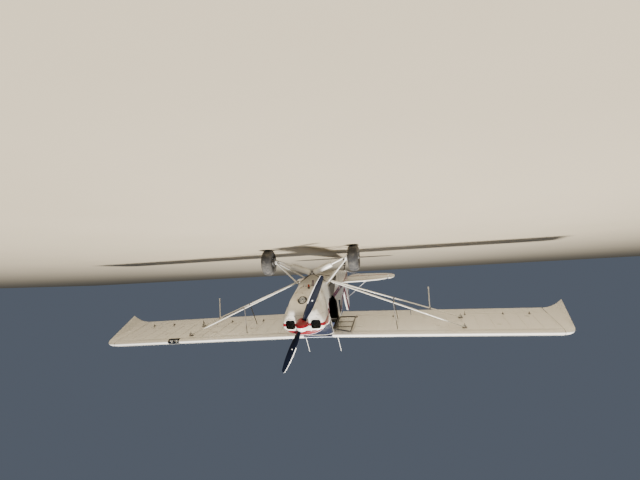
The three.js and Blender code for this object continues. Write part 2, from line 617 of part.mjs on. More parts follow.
add("tail_fork", join(
  bar(V(0, TAIL_FORK_Y, FORK_Z - 32), V(0, TAIL_FORK_Y, FORK_Z + 6), 20, 16),
  block(V(-CHEEK_OUT, TAIL_FORK_Y - 22, FORK_Z - 36), V(CHEEK_OUT, TAIL_FORK_Y + 26, FORK_Z - 22)),
  forkCheek(1), forkCheek(-1),
  bar(V(-CHEEK_OUT - 6, TAIL_AXLE_Y, TAIL_AXLE_Z), V(CHEEK_OUT + 6, TAIL_AXLE_Y, TAIL_AXLE_Z), 7, 12),
), STEEL, forkPivot);
const tailWheelPivot = V(0, TAIL_AXLE_Y, TAIL_AXLE_Z);
add("tail_wheel", turned(TAIL_WHEEL_PROFILE, 0, 28)
  .translate(tailWheelPivot.x, tailWheelPivot.y, tailWheelPivot.z), RUBBER, tailWheelPivot);

// Tail surfaces
const SURFACE_THICK = 44;
const SURFACE_BEVEL = 14;
const TAIL_GAP = 12;
const STAB_ROOT_X = 70;
const HORN_X = 1400;
const stabilizer = [[STAB_ROOT_X, 4300], [700, 4340, 60], [1180, 4450, 120], [HORN_X - TAIL_GAP, 4600, 60],
  [HORN_X - TAIL_GAP, TAIL_HINGE_Y - TAIL_GAP], [STAB_ROOT_X, TAIL_HINGE_Y - TAIL_GAP]];
const stabilizerBody = bevelled(outlineOf(stabilizer), SURFACE_THICK, "z", SURFACE_BEVEL, TAIL_Z);
addPair("stabilizer", cut(stabilizerBody, wholeHull(-2)), WHITE);
const elevator = [[85, TAIL_HINGE_Y], [HORN_X, TAIL_HINGE_Y], [HORN_X, 4590], [1470, 4590, 30],
  [1560, 4690, 60], [1606, 4870, 80], [1562, 5100, 160], [1280, 5260, 200], [640, 5350, 120],
  [300, 5360, 60], [172, 5262], [85, 5085]];
const elevatorHinge = V(0, TAIL_HINGE_Y + 28, TAIL_Z);
const elevatorBody = bevelled(outlineOf(elevator), SURFACE_THICK - 4, "z", 12, TAIL_Z);
addPair("elevator", elevatorBody, WHITE, elevatorHinge);

const FIN_THICK = 44;
const FIN_BACK_Y = TAIL_HINGE_Y - TAIL_GAP - 6;
const fin = [[4060, 1592], [4150, 1630, 20], [4560, 2320, 200], [4790, 2560, 60], [FIN_BACK_Y, 2600],
  [FIN_BACK_Y, 1560], [4300, 1572]];
const finBody = bevelled(outlineOf(fin), FIN_THICK, "x", 12);

// Wires brace the tail, from the fin and from a lug under the keel out to each stabilizer
const WIRE = 4.5;
const WIRE_FEET = [[790, 4900], [760, 4560]];
const STAB_TOP = TAIL_Z + SURFACE_THICK / 2 + 6;
const STAB_LOW = TAIL_Z - SURFACE_THICK / 2 - 6;
const wiresFrom = (root, z) => join(...WIRE_FEET.map(([x, y]) => bar(root, V(x, y, z), WIRE, 6)));
const upperWires = wiresFrom(V(0, 4900, 2190), STAB_TOP);
add("fin", join(cut(finBody, wholeHull(-2)), upperWires, mirrored(upperWires)), WHITE);
const lowerWires = wiresFrom(V(58, 4600, 1209), STAB_LOW);
const keelLug = block(V(-64, 4588, 1201), V(64, 4612, 1217));
add("tail_wires_lower", join(keelLug, lowerWires, mirrored(lowerWires)), STEEL);
const RUDDER_FRONT_Y = TAIL_HINGE_Y + 10;
const rudder = [[RUDDER_FRONT_Y, 1290], [RUDDER_FRONT_Y, 2630, 30], [5100, 2650, 60], [5300, 2500, 140],
  [5450, 2080, 200], [5450, 1640, 200], [5330, 1370, 120], [5110, 1280, 60]];
const rudderHinge = V(0, TAIL_HINGE_Y + 26, 0);
add("rudder", bevelled(outlineOf(rudder), FIN_THICK - 6, "x", 12), WHITE, rudderHinge);

// Engine bay: a nose bowl, a top cowl and a lower cowl over a plain engine
const COWL_COLUMNS = ["y", "half", "widest", "top", "low", "halfLow", "archPower"];
const COWL_SECTIONS = [
  [-1215, 292, 1026, 1168, 860, 205, 0.98],
  [-1200, 385, 1032, 1220, 785, 262, 0.98],
  [-1150, 420, 1036, 1260, 715, 288, 0.98],
  [-1000, 438, 1024, 1306, 615, 288, 1],
  [-700, 420, 1022, 1338, 520, 264, 1.02],
  [-352, 354, 1150, 1357, 457, 252, 0.7],
];
const COWL_WALL = 8;
const COWL_SIDE = 0.3; // share of the height from widest to low at which the side turns in
const COWL_SPLIT_Z = 985;
function cowlRing(row, inset) {
  const s = named(COWL_COLUMNS, row);
  const half = s.half - inset;
  const halfLow = s.halfLow - inset;
  const low = s.low + inset;
  const corner = 70;
  const right = [[halfLow - corner, low], [halfLow - corner * 0.25, low + corner * 0.22],
    [halfLow + 12, low + corner * 0.95], [half * 0.97, s.widest - COWL_SIDE * (s.widest - low)]];
  for (let i = 0; i < ARCH_STEPS; i += 1) {
    const angle = (i / ARCH_STEPS) * Math.PI / 2;
    right.push([
      half * Math.cos(angle) ** s.archPower,
      s.widest + (s.top - inset - s.widest) * Math.sin(angle) ** s.archPower,
    ]);
  }
  const left = right.map(([x, z]) => [-x, z]).reverse();
  return [...right, [0, s.top - inset], ...left].map(([x, z]) => V(x, s.y, z));
}
const cowl = (rows, inset) => loft(rows.map((row) => cowlRing(row, inset)));
const cowlInner = cowl([[-1204, ...COWL_SECTIONS[0].slice(1)], ...COWL_SECTIONS.slice(1),
  [-300, ...COWL_SECTIONS[COWL_SECTIONS.length - 1].slice(1)]], COWL_WALL);
const INTAKE_X = 252;
const INTAKE_Z = 1030;
const INTAKE_HALF_WIDE = 102;
const INTAKE_HALF_HIGH = 94;
const INTAKE_CORNERS = [[-1, -1], [1, -1], [1, 1], [-1, 1]];
const intake = (side) => plate(outlineOf(INTAKE_CORNERS.map(([across, up]) =>
  [side * INTAKE_X + across * INTAKE_HALF_WIDE, INTAKE_Z + up * INTAKE_HALF_HIGH, 58])), 260, "y", -1170);
const crankHole = bar(V(0, -1300, THRUST_Z), V(0, -1100, THRUST_Z), 70, 20);
const lampSpot = V(20, -985, 612);
const lampAim = V(0, -0.86, -0.51).normalize();
const LAMP_RADIUS = 70;
const lampAt = (reach) => lampSpot.clone().addScaledVector(lampAim, reach);
const lampHole = bar(lampAt(-120), lampAt(120), LAMP_RADIUS + 14, 24);
const outlet = block(V(-130, -430, 400), V(130, -340, 600));
const cowlShell = cut(cowl(COWL_SECTIONS, 0), cowlInner, intake(1), intake(-1), crankHole, lampHole);
const BOWL_BACK_Y = -1010;
const BOWL_LOW_Z = 850;
const box = (y0, y1, z0, z1) => block(V(-600, y0, z0), V(600, y1, z1));
add("nose_bowl", common(cowlShell, box(-1400, BOWL_BACK_Y, BOWL_LOW_Z, 1500)), WHITE);
add("cowl_top", common(cowlShell, box(BOWL_BACK_Y + GAP, 0, COWL_SPLIT_Z, 1500)), WHITE);
add("cowl_lower", cut(common(cowlShell, box(-1400, 0, 300, COWL_SPLIT_Z - GAP)),
  box(-1400, BOWL_BACK_Y + GAP, BOWL_LOW_Z - GAP, 1500), outlet), WHITE);
add("landing_lamp", bar(lampAt(-50), lampAt(16), LAMP_RADIUS, 24), LAMP);

// Engine, as one plain block at its place and size, with the crankshaft that carries the propeller
add("engine", join(
  block(V(-330, -1060, 930), V(330, -560, 1130)),
  block(V(-140, -1090, 850), V(140, -420, 1240)),
  bar(V(0, -1105, THRUST_Z), V(0, -1080, THRUST_Z), 60, 20),
), STEEL);

// Propeller
const BLADE_COLUMNS = ["reach", "chord", "thick", "pitch"];
const BLADE_SECTIONS = [
  [40, 70, 56, 60], [150, 94, 38, 48], [300, 124, 26, 38], [520, 138, 18, 27],
  [760, 128, 12, 20], [950, 100, 8, 16], [PROP_RADIUS - 18, 68, 5, 15], [PROP_RADIUS, 32, 3, 15],
];
const BLADE_SIDES = 10;
// Chord runs across the disc: the leading edge is to the aircraft's right on the upper blade
function bladeRing(row) {
  const s = named(BLADE_COLUMNS, row);
  return Array.from({ length: BLADE_SIDES }, (_, i) => {
    const angle = (i / BLADE_SIDES) * 2 * Math.PI;
    const across = Math.cos(angle) * s.chord / 2;
    const deep = Math.sin(angle) * s.thick / 2;
    const pitch = rad(s.pitch);
    return V(deep * Math.sin(pitch) - across * Math.cos(pitch),
      -across * Math.sin(pitch) - deep * Math.cos(pitch), s.reach);
  });
}
const blade = loft(BLADE_SECTIONS.map(bladeRing));
const oppositeBlade = blade.clone().rotateY(Math.PI);
const hubBoss = bar(V(0, -48, 0), V(0, 48, 0), 66, 20);
const flange = bar(V(0, 40, 0), V(0, 178, 0), 52, 20);
const placeProp = (geometry) => geometry.rotateY(PROP_ANGLE).translate(0, PROP_Y, THRUST_Z);
const propPivot = V(0, PROP_Y, THRUST_Z);
add("propeller", placeProp(join(blade, oppositeBlade, hubBoss, flange)), NAVY, propPivot);
const SPINNER_RADIUS = 128;
const SPINNER_PROFILE = [
  // radius, along the shaft
  [0, 40], [SPINNER_RADIUS, 40], [SPINNER_RADIUS - 2, 0], [116, -48], [92, -98], [58, -134],
  [26, -152], [0, -156],
];
const spinnerPoints = SPINNER_PROFILE.map(([radius, along]) => new THREE.Vector2(radius, along));
const spinnerSkin = facingOut(new THREE.LatheGeometry(spinnerPoints, 32));
const bladeSlot = block(V(-42, -46, 30), V(42, 46, 200));
const hubRoom = bar(V(0, -62, 0), V(0, 60, 0), 80, 20);
const spinnerInside = join(hubRoom, bladeSlot, bladeSlot.clone().rotateY(Math.PI));
add("spinner", placeProp(cut(spinnerSkin, spinnerInside)), CRIMSON, propPivot);

// Cabin fittings that show through the glass and the open door
const SEAT_HALF = 205;
const seatSide = (y, z, back) => outlineOf([[y, z], [y + 430, z - 20], [y + 430 + back, z + 520, 40],
  [y + 370 + back, z + 520, 30], [y + 380, z + 110, 40], [y + 10, z + 130, 40]]);
add("seat_front", bevelled(seatSide(330, 640, 70), 2 * SEAT_HALF, "x", 16), CLOTH);
add("seat_rear", bevelled(seatSide(1010, 660, 40), 2 * SEAT_HALF, "x", 16), CLOTH);
const panelOutline = [[-300, 1050, 30], [300, 1050, 30], [300, 1240, 60], [210, 1352, 60],
  [-210, 1352, 60], [-300, 1240, 60]];
add("instrument_panel", plate(outlineOf(panelOutline), 14, "y", -190), DARK);
const STICKS_Y = [210, 930];
const FLOOR_TOP_Z = 536;
const stick = (y) => join(bar(V(0, y, FLOOR_TOP_Z - 6), V(0, y - 40, 860), 11, 10),
  bar(V(0, y - 40, 840), V(0, y - 54, 960), 17, 10));
const cabinHull = (inset) => join(hull(NOSE_SECTIONS, inset), hull(BODY_SECTIONS.slice(0, 4), inset));
const floorBlock = block(V(-270, -320, FLOOR_TOP_Z - 12), V(270, 930, FLOOR_TOP_Z));
const floorBoard = common(floorBlock, cabinHull(WALL + 6));
add("cabin_floor", join(floorBoard, ...STICKS_Y.map(stick)), DARK);

// Small fittings outside. Both aerials lean back and a little to the aircraft's right.
const ANTENNA_X = 372;
const ANTENNA_Y = 372;
const ANTENNA_SWEEP = V(-45, 70, 400);
const antennaUp = sectionPoint(ANTENNA_Y / CHORD, 1)[1] + 1;
for (const side of Object.keys(SIDE)) {
  const foot = wingPoint(ANTENNA_X, ANTENNA_Y, antennaUp).multiply(V(SIDE[side], 1, 1));
  const along = (share) => foot.clone().addScaledVector(ANTENNA_SWEEP, share);
  const base = bar(foot, along(0.065), 14, 12, 8);
  add(`antenna_${side}`, join(base, bar(along(0.05), along(1), 7, 8, 5)), WHITE);
}
const EXHAUST_BEND = V(-82, -384, 446);
const exhaustPipe = bar(V(-70, -460, 640), EXHAUST_BEND, 27, 14);
add("exhaust", join(exhaustPipe, bar(EXHAUST_BEND, V(-84, -322, 380), 26, 14)), STEEL);

// Tip the airframe nose up, stand it on the ground and centre it fore and aft
airframe.rotation.x = -GROUND_ANGLE;
airframe.updateMatrixWorld(true);
const reach = new THREE.Box3().setFromObject(airframe, true);
airframe.position.set(0, -(reach.min.y + reach.max.y) / 2, -reach.min.z);

export default aircraft;
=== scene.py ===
import json
from math import asin, cos, pi, radians, sin, sqrt, tan

import bmesh
import bpy
from mathutils import Matrix, Vector
from mathutils.bvhtree import BVHTree


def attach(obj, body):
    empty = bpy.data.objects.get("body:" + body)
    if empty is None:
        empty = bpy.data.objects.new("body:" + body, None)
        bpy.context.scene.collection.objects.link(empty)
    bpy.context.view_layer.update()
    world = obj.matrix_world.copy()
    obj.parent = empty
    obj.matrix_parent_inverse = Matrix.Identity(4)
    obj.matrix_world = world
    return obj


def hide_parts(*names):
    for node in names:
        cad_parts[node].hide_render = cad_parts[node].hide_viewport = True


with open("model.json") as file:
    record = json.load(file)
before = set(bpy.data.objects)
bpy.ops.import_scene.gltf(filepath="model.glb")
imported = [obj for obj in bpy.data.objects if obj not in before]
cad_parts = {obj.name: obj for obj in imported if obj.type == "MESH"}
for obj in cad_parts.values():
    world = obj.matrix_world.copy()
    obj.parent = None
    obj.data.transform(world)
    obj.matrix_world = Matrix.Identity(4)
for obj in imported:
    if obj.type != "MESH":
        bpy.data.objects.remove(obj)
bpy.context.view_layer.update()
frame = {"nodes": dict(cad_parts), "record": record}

# Lengths are in metres. Pieces are drawn in the airframe's own frame, where x runs to the aircraft's left,
# y aft from the wing's leading edge and z up from the main axle, and are then tipped to stand as it parks.
joint_of = {joint["name"]: joint for joint in frame["record"]["behaviour"]["joints"]}
GROUND_ANGLE = -asin(Vector(joint_of["propeller_spin"]["axis"]).normalized().z)
AXLE = Vector(joint_of["wheel_left_spin"]["pos_m"])
TO_WORLD = Matrix.Translation((0, AXLE.y, AXLE.z)) @ Matrix.Rotation(-GROUND_ANGLE, 4, "X")
TO_AIRFRAME = TO_WORLD.inverted()

CHORD = 1.6
INCIDENCE = radians(1.6)
DIHEDRAL = radians(1.1)
WING_ROOT_X = 0.326
WING_LE_Z = 1.696
TIP_JOINT_X = 5.06
SPAN_HALF = 5.462
HINGE_CHORD = 0.795
FLAP_OUT_X = 2.03
THRUST_Z = 1.02
PROP_Y = -1.29
PROP_ANGLE = radians(27)
WHEEL_X = AXLE.x
TAIL_FORK_Y = 4.99
TAIL_Z = 1.515
WALL = 0.018
STRUT_WING_X = 3.15
STRUT_FRONT_Y = 0.253
STRUT_REAR_Y = 0.972
SIDES = {"left": 1, "right": -1}


# Shapes: each is a pair of points and faces

def joined(*shapes):
    """Several shapes as one"""
    points, faces = [], []
    for shape_points, shape_faces in shapes:
        base = len(points)
        points += [Vector(p) for p in shape_points]
        faces += [tuple(base + i for i in face) for face in shape_faces]
    return points, faces


def moved(shape, matrix):
    points, faces = shape
    return [matrix @ Vector(p) for p in points], faces


def mirrored(shape):
    """The same shape for the aircraft's right side"""
    points, faces = shape
    return [Vector((-p[0], p[1], p[2])) for p in points], [tuple(reversed(face)) for face in faces]


def on_side(shape, side):
    return shape if SIDES[side] > 0 else mirrored(shape)


def loft(rings, ends=True, round_trip=False):
    """A skin through rings of equal length, filled at both ends, or led back to the first ring"""
    count = len(rings[0])
    points = [Vector(p) for ring in rings for p in ring]
    pairs = len(rings) if round_trip else len(rings) - 1
    faces = []
    for row in range(pairs):
        low, high = row * count, (row + 1) % len(rings) * count
        for i in range(count):
            after = (i + 1) % count
            faces.append((low + i, low + after, high + after, high + i))
    if ends and not round_trip:
        faces.append(tuple(reversed(range(count))))
        faces.append(tuple(range(len(points) - count, len(points))))
    return points, faces


def flat_faced(shape):
    """The same skin with its four-sided faces split in two, so that each face is flat"""
    points, faces = shape
    split = []
    for face in faces:
        split += [face[:3], (face[0], face[2], face[3])] if len(face) == 4 else [face]
    return points, split


def turned(profile, steps=48, closed=False):
    """A lathe form about Y, from pairs of radius and place along Y; its ends may lie on the axis"""
    rings = []
    for step in range(steps):
        angle = 2 * pi * step / steps
        rings.append([Vector((radius * sin(angle), along, radius * cos(angle))) for radius, along in profile])
    count = len(profile)
    points = [p for ring in rings for p in ring]
    faces = []
    last = count if closed else count - 1
    for step in range(steps):
        low, high = step * count, (step + 1) % steps * count
        for i in range(last):
            after = (i + 1) % count
            faces.append((low + i, low + after, high + after, high + i))
    return points, faces


def aimed(shape, at, axis, spin=0.0):
    """A shape drawn about Y, turned so that Y runs along an axis, and carried to a place"""
    turn = Vector((0, 1, 0)).rotation_difference(Vector(axis).normalized()).to_matrix().to_4x4()
    return moved(shape, Matrix.Translation(Vector(at)) @ turn @ Matrix.Rotation(spin, 4, "Y"))


def rod(start, end, radius, sides=16, end_radius=None, lip=0.0):
    """A round bar between two points, with a small chamfer where a lip is asked for"""
    start, end = Vector(start), Vector(end)
    length = (end - start).length
    far = radius if end_radius is None else end_radius
    profile = [(0, 0), (radius - lip, 0), (radius, lip), (far, length - lip), (far - lip, length),
               (0, length)]
    if lip == 0:
        profile = [(0, 0), (radius, 0), (far, length), (0, length)]
    return aimed(turned(profile, sides), start, end - start)


def bolt(at, axis, radius=0.008, height=0.006):
    """A six-sided head on a washer"""
    washer = [(0, 0), (radius * 1.5, 0), (radius * 1.5, height * 0.25), (0, height * 0.25)]
    head = [(0, height * 0.2), (radius, height * 0.2), (radius, height * 0.9), (radius * 0.8, height),
            (0, height)]
    return joined(aimed(turned(washer, 12), at, axis), aimed(turned(head, 6), at, axis))


def screw(at, axis):
    return aimed(turned([(0, 0.0014), (0.004, 0.0012), (0.0055, 0), (0, 0)], 10), at, axis)


def small_screw(at, axis):
    return aimed(turned([(0, 0.0012), (0.0032, 0.001), (0.0042, 0), (0, 0)], 8), at, axis)


def frames_along(path, up=Vector((0, 0, 1))):
    """At each point of a path, its direction and two directions across it, kept from twisting"""
    points = [Vector(p) for p in path]
    across = None
    frames = []
    for i, point in enumerate(points):
        ahead = (points[min(i + 1, len(points) - 1)] - points[max(i - 1, 0)]).normalized()
        if across is None:
            guide = up if abs(ahead.dot(up)) < 0.95 else Vector((0, 1, 0))
            across = ahead.cross(guide).normalized()
        else:
            across = (across - ahead * across.dot(ahead)).normalized()
        frames.append((point, ahead, across, across.cross(ahead)))
    return frames


def tube(path, radius, sides=12, round_trip=False):
    """A round tube along a path; the radius is one value or one for each point"""
    frames = frames_along(path)
    rings = []
    for i, (point, _, across, other) in enumerate(frames):
        r = radius[i] if isinstance(radius, (list, tuple)) else radius
        rings.append([point + (across * cos(a) + other * sin(a)) * r
                      for a in (2 * pi * k / sides for k in range(sides))])
    return loft(rings, round_trip=round_trip)


def ribbon(path, width, thickness, across, round_trip=False):
    """A flat strip along a path, with its width kept along one direction"""
    rings = []
    for point, ahead, _, _ in frames_along(path):
        side = (Vector(across) - ahead * Vector(across).dot(ahead)).normalized() * width / 2
        rise = ahead.cross(side).normalized() * thickness / 2
        rings.append([point - side - rise, point + side - rise, point + side + rise, point - side + rise])
    return loft(rings, round_trip=round_trip)


def curve_through(points, steps=6):
    """A smooth path through points"""
    P = [Vector(p) for p in points]
    path = []
    for i in range(len(P) - 1):
        a, b, c, d = P[max(i - 1, 0)], P[i], P[i + 1], P[min(i + 2, len(P) - 1)]
        for k in range(steps):
            t = k / steps
            path.append(0.5 * (2 * b + (c - a) * t + (2 * a - 5 * b + 4 * c - d) * t * t
                               + (3 * b - a - 3 * c + d) * t ** 3))
    return path + [P[-1]]


def rounded(corners, steps=5):
    """An outline through corners, some of them rounded: (across, up, radius)"""
    outline = []
    count = len(corners)
    for i, corner in enumerate(corners):
        here = Vector(corner[:2])
        radius = corner[2] if len(corner) > 2 else 0
        before, after = Vector(corners[i - 1][:2]), Vector(corners[(i + 1) % count][:2])
        room = min((here - before).length, (here - after).length) * 0.45
        radius = min(radius, room)
        if radius <= 0:
            outline.append(here)
            continue
        start = here + (before - here).normalized() * radius
        end = here + (after - here).normalized() * radius
        for k in range(steps + 1):
            t = k / steps
            outline.append(start * (1 - t) ** 2 + here * 2 * t * (1 - t) + end * t * t)
    return outline


def grown(outline, by):
    """The same outline with every edge moved out"""
    P = [Vector(p[:2]) for p in outline]
    area = sum(a.x * b.y - b.x * a.y for a, b in zip(P, P[1:] + P[:1]))
    sign = 1 if area > 0 else -1
    moved_out = []
    for i, here in enumerate(P):
        before, after = here - P[i - 1], P[(i + 1) % len(P)] - here
        n1 = Vector((before.y, -before.x)).normalized() * sign
        n2 = Vector((after.y, -after.x)).normalized() * sign
        corner = here + (n1 + n2) * (by / max(0.3, 1 + n1.dot(n2)))
        moved_out.append((corner.x, corner.y, *outline[i][2:]))
    return moved_out


# How a flat drawing's two directions and its thickness lie in the airframe's frame
DRAWN_ON = {
    "x": lambda p, at: Vector((at, p[0], p[1])),
    "y": lambda p, at: Vector((p[0], at, p[1])),
    "z": lambda p, at: Vector((p[0], p[1], at)),
}


def slab(outline, thickness, normal, at=0.0, bevel=0.0):
    """A plate with a drawn outline, its thickness centred on a plane and its edges thinned by a bevel"""
    place = DRAWN_ON[normal]
    half = thickness / 2
    if bevel == 0:
        return loft([[place(p, at - half) for p in outline], [place(p, at + half) for p in outline]])
    inner = grown(outline, -bevel)
    middle = grown(outline, -bevel * 0.3)
    edge = max(half - bevel, half * 0.2)
    shoulder = half - bevel * 0.25 if half > bevel else half * 0.85
    return loft([
        [place(p, at - half) for p in inner], [place(p, at - shoulder) for p in middle],
        [place(p, at - edge) for p in outline], [place(p, at + edge) for p in outline],
        [place(p, at + shoulder) for p in middle], [place(p, at + half) for p in inner]])


def block(low, high, bevel=0.0):
    """An upright block between two corners"""
    (x0, y0, z0), (x1, y1, z1) = low, high
    outline = rounded([(x0, y0, bevel), (x1, y0, bevel), (x1, y1, bevel), (x0, y1, bevel)], 3)
    return slab(outline, z1 - z0, "z", (z0 + z1) / 2, bevel * 0.6)


def surface_of(shape):
    """A search tree on a shape, for setting small pieces on its skin"""
    return BVHTree.FromPolygons([Vector(p) for p in shape[0]], shape[1])


ON_SURFACE = 0.0015
FACE_ON_SURFACE = 0.012


def lined(shape, outside, skin, lining):
    """A hollow shape as two pairs: its faces that lie on an outside surface, and all the others"""
    tree = surface_of(outside)
    points, faces = shape
    on_surface = [tree.find_nearest(p)[3] < ON_SURFACE for p in points]
    outer, inner = [], []
    for face in faces:
        middle = sum((points[i] for i in face), Vector()) / len(face)
        outside_face = all(on_surface[i] for i in face) and tree.find_nearest(middle)[3] < FACE_ON_SURFACE
        (outer if outside_face else inner).append(face)
    return [((points, outer), skin), ((points, inner), lining)]


def striped(shape, count, low, high):
    """A loft's faces between two places along its rings, and all the others"""
    points, faces = shape
    inside = [face for i, face in enumerate(faces) if len(face) == 4 and low <= i % count < high]
    others = [face for i, face in enumerate(faces) if not (len(face) == 4 and low <= i % count < high)]
    return (points, inside), (points, others)


def in_scene(name, data):
    """A new object in the scene, with a mesh, a light or a camera as its data"""
    obj = bpy.data.objects.new(name, data)
    bpy.context.scene.collection.objects.link(obj)
    return obj


def clean(mesh, reach, slivers=False):
    """Joins corners that lie together, closes slivers where asked and turns all faces outward"""
    tidy = bmesh.new()
    tidy.from_mesh(mesh)
    bmesh.ops.remove_doubles(tidy, verts=tidy.verts, dist=reach)
    if slivers:
        bmesh.ops.dissolve_degenerate(tidy, edges=tidy.edges, dist=reach)
    bmesh.ops.recalc_face_normals(tidy, faces=tidy.faces)
    tidy.to_mesh(mesh)
    tidy.free()


def bare_object(name, shape):
    mesh = bpy.data.meshes.new(name)
    points, faces = shape
    mesh.from_pydata([tuple(p) for p in points], [], faces)
    clean(mesh, 1e-6)
    return in_scene(name, mesh)


def settled(obj):
    """The object's mesh with all its modifiers in it, as a plain mesh"""
    view = bpy.context.evaluated_depsgraph_get()
    mesh = bpy.data.meshes.new_from_object(obj.evaluated_get(view))
    obj.modifiers.clear()
    return mesh


def make_stud_tree():
    """Small round heads at an even pitch along edges, each pointing along the edge's own 'out' direction"""
    tree = bpy.data.node_groups.new("stud_row", "GeometryNodeTree")
    tree.interface.new_socket("Lines", in_out="INPUT", socket_type="NodeSocketGeometry")
    inputs = {}
    for label, value in (("Pitch", 0.03), ("Radius", 0.003), ("Height", 0.001)):
        socket = tree.interface.new_socket(label, in_out="INPUT", socket_type="NodeSocketFloat")
        socket.default_value = value
        inputs[label] = socket.identifier
    finish = tree.interface.new_socket("Finish", in_out="INPUT", socket_type="NodeSocketMaterial")
    inputs["Finish"] = finish.identifier
    tree.interface.new_socket("Heads", in_out="OUTPUT", socket_type="NodeSocketGeometry")

    def add(kind, links, **settings):
        made = tree.nodes.new(kind)
        for key, value in settings.items():
            setattr(made, key, value)
        for socket, source in links.items():
            tree.links.new(source, made.inputs[socket])
        return made
    given = tree.nodes.new("NodeGroupInput").outputs
    curve = add("GeometryNodeMeshToCurve", {"Mesh": given["Lines"]}).outputs["Curve"]
    spots = add("GeometryNodeResampleCurve", {"Curve": curve, "Length": given["Pitch"]},
                mode="LENGTH").outputs["Curve"]
    out = add("GeometryNodeInputNamedAttribute", {}, data_type="FLOAT_VECTOR")
    out.inputs["Name"].default_value = "out"
    turn = add("FunctionNodeAlignRotationToVector", {"Vector": out.outputs["Attribute"]}, axis="Z")
    half = add("ShaderNodeMath", {0: given["Radius"]}, operation="MULTIPLY")
    half.inputs[1].default_value = 0.6
    head = add("GeometryNodeMeshCone", {"Radius Bottom": given["Radius"], "Radius Top": half.outputs[0],
                                        "Depth": given["Height"]})
    head.inputs["Vertices"].default_value = 8
    placed_heads = add("GeometryNodeInstanceOnPoints", {"Points": spots, "Instance": head.outputs["Mesh"],
                                                        "Rotation": turn.outputs["Rotation"]})
    real = add("GeometryNodeRealizeInstances", {"Geometry": placed_heads.outputs["Instances"]})
    painted_heads = add("GeometryNodeSetMaterial",
                        {"Geometry": real.outputs["Geometry"], "Material": given["Finish"]})
    result = tree.nodes.new("NodeGroupOutput")
    tree.links.new(painted_heads.outputs["Geometry"], result.inputs[0])
    return tree, inputs


STUD_TREE, STUD_INPUTS = make_stud_tree()


def stud_rows(name, lines, finish, pitch=0.03, radius=0.003, height=0.0012, body="airframe"):
    """Rows of rivets or stitches: each line is a list of pairs, a point and the way out of the skin there"""
    points, edges, ways = [], [], []
    for line in lines:
        base = len(points)
        points += [tuple(TO_WORLD @ Vector(p)) for p, _ in line]
        ways += [(TO_WORLD.to_3x3() @ Vector(way)).normalized() for _, way in line]
        edges += [(base + i, base + i + 1) for i in range(len(line) - 1)]
    mesh = bpy.data.meshes.new(name)
    mesh.from_pydata(points, edges, [])
    out = mesh.attributes.new("out", "FLOAT_VECTOR", "POINT")
    out.data.foreach_set("vector", [value for way in ways for value in way])
    rows = in_scene(name, mesh)
    studs = rows.modifiers.new("studs", "NODES")
    studs.node_group = STUD_TREE
    for label, value in (("Pitch", pitch), ("Radius", radius), ("Height", height), ("Finish", finish)):
        studs[STUD_INPUTS[label]] = value
    rows.data = settled(rows)
    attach(rows, body)
    return rows


def dropped(*objects):
    for obj in objects:
        mesh = obj.data
        bpy.data.objects.remove(obj)
        if mesh.users == 0:
            bpy.data.meshes.remove(mesh)


def carved(shape, *tools, operation="DIFFERENCE"):
    """A solid with others cut from it, or with INTERSECT what it shares with them"""
    target = bare_object("solid", shape)
    cutters = [bare_object("cutter", tool) for tool in tools]
    for cutter in cutters:
        step = target.modifiers.new("cut", "BOOLEAN")
        step.operation = operation
        step.solver = "EXACT"
        step.object = cutter
    mesh = settled(target)
    result = ([v.co.copy() for v in mesh.vertices], [tuple(f.vertices) for f in mesh.polygons])
    bpy.data.meshes.remove(mesh)
    dropped(target, *cutters)
    return result


def make(name, shapes, body="airframe", replaces=(), smooth=34, merge=1e-5, bevel=0.0, levels=0):
    """One piece from shapes and their materials, a list of pairs, placed as the aircraft stands"""
    points, faces, kinds, materials = [], [], [], []
    for shape, material in shapes:
        if material not in materials:
            materials.append(material)
        base = len(points)
        points += [tuple(TO_WORLD @ Vector(p)) for p in shape[0]]
        faces += [tuple(base + i for i in face) for face in shape[1]]
        kinds += [materials.index(material)] * len(shape[1])
    mesh = bpy.data.meshes.new(name)
    mesh.from_pydata(points, [], faces)
    for material in materials:
        mesh.materials.append(material)
    mesh.polygons.foreach_set("material_index", kinds)
    clean(mesh, merge, slivers=True)
    mesh.shade_smooth()
    mesh.set_sharp_from_angle(angle=radians(smooth))
    obj = in_scene(name, mesh)
    if bevel > 0:
        edge = obj.modifiers.new("edge", "BEVEL")
        edge.width = bevel
        edge.segments = 2
        edge.limit_method = "ANGLE"
        edge.angle_limit = radians(smooth)
    if levels > 0:
        soft = obj.modifiers.new("soft", "SUBSURF")
        soft.levels = levels
        soft.render_levels = levels
    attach(obj, body)
    if replaces:
        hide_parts(*replaces)
    return obj


# Finishes

def filled(tree, made, inputs):
    """A node with its inputs set: each is a value, or the output that feeds it"""
    for key, value in (inputs or {}).items():
        if isinstance(value, bpy.types.NodeSocket):
            tree.links.new(value, made.inputs[key])
        else:
            made.inputs[key].default_value = value
    return made


def node(tree, kind, inputs=None, **settings):
    made = tree.nodes.new("ShaderNode" + kind)
    for key, value in settings.items():
        setattr(made, key, value)
    return filled(tree, made, inputs)


def sums(tree, operation, *values, clamp=False):
    """A Math node's result"""
    return node(tree, "Math", dict(enumerate(values)), operation=operation, use_clamp=clamp).outputs[0]


def mixed(tree, share, first, second, blend="MIX"):
    """One colour laid over another by a share"""
    mix = node(tree, "Mix", {0: share, 6: first, 7: second}, data_type="RGBA", blend_type=blend)
    return mix.outputs[2]


def stepped(tree, value, low, high, out_low=0.0, out_high=1.0):
    """A value carried smoothly from one range to another"""
    made = node(tree, "MapRange", {0: value, 1: low, 2: high, 3: out_low, 4: out_high},
                interpolation_type="SMOOTHSTEP")
    return made.outputs[0]


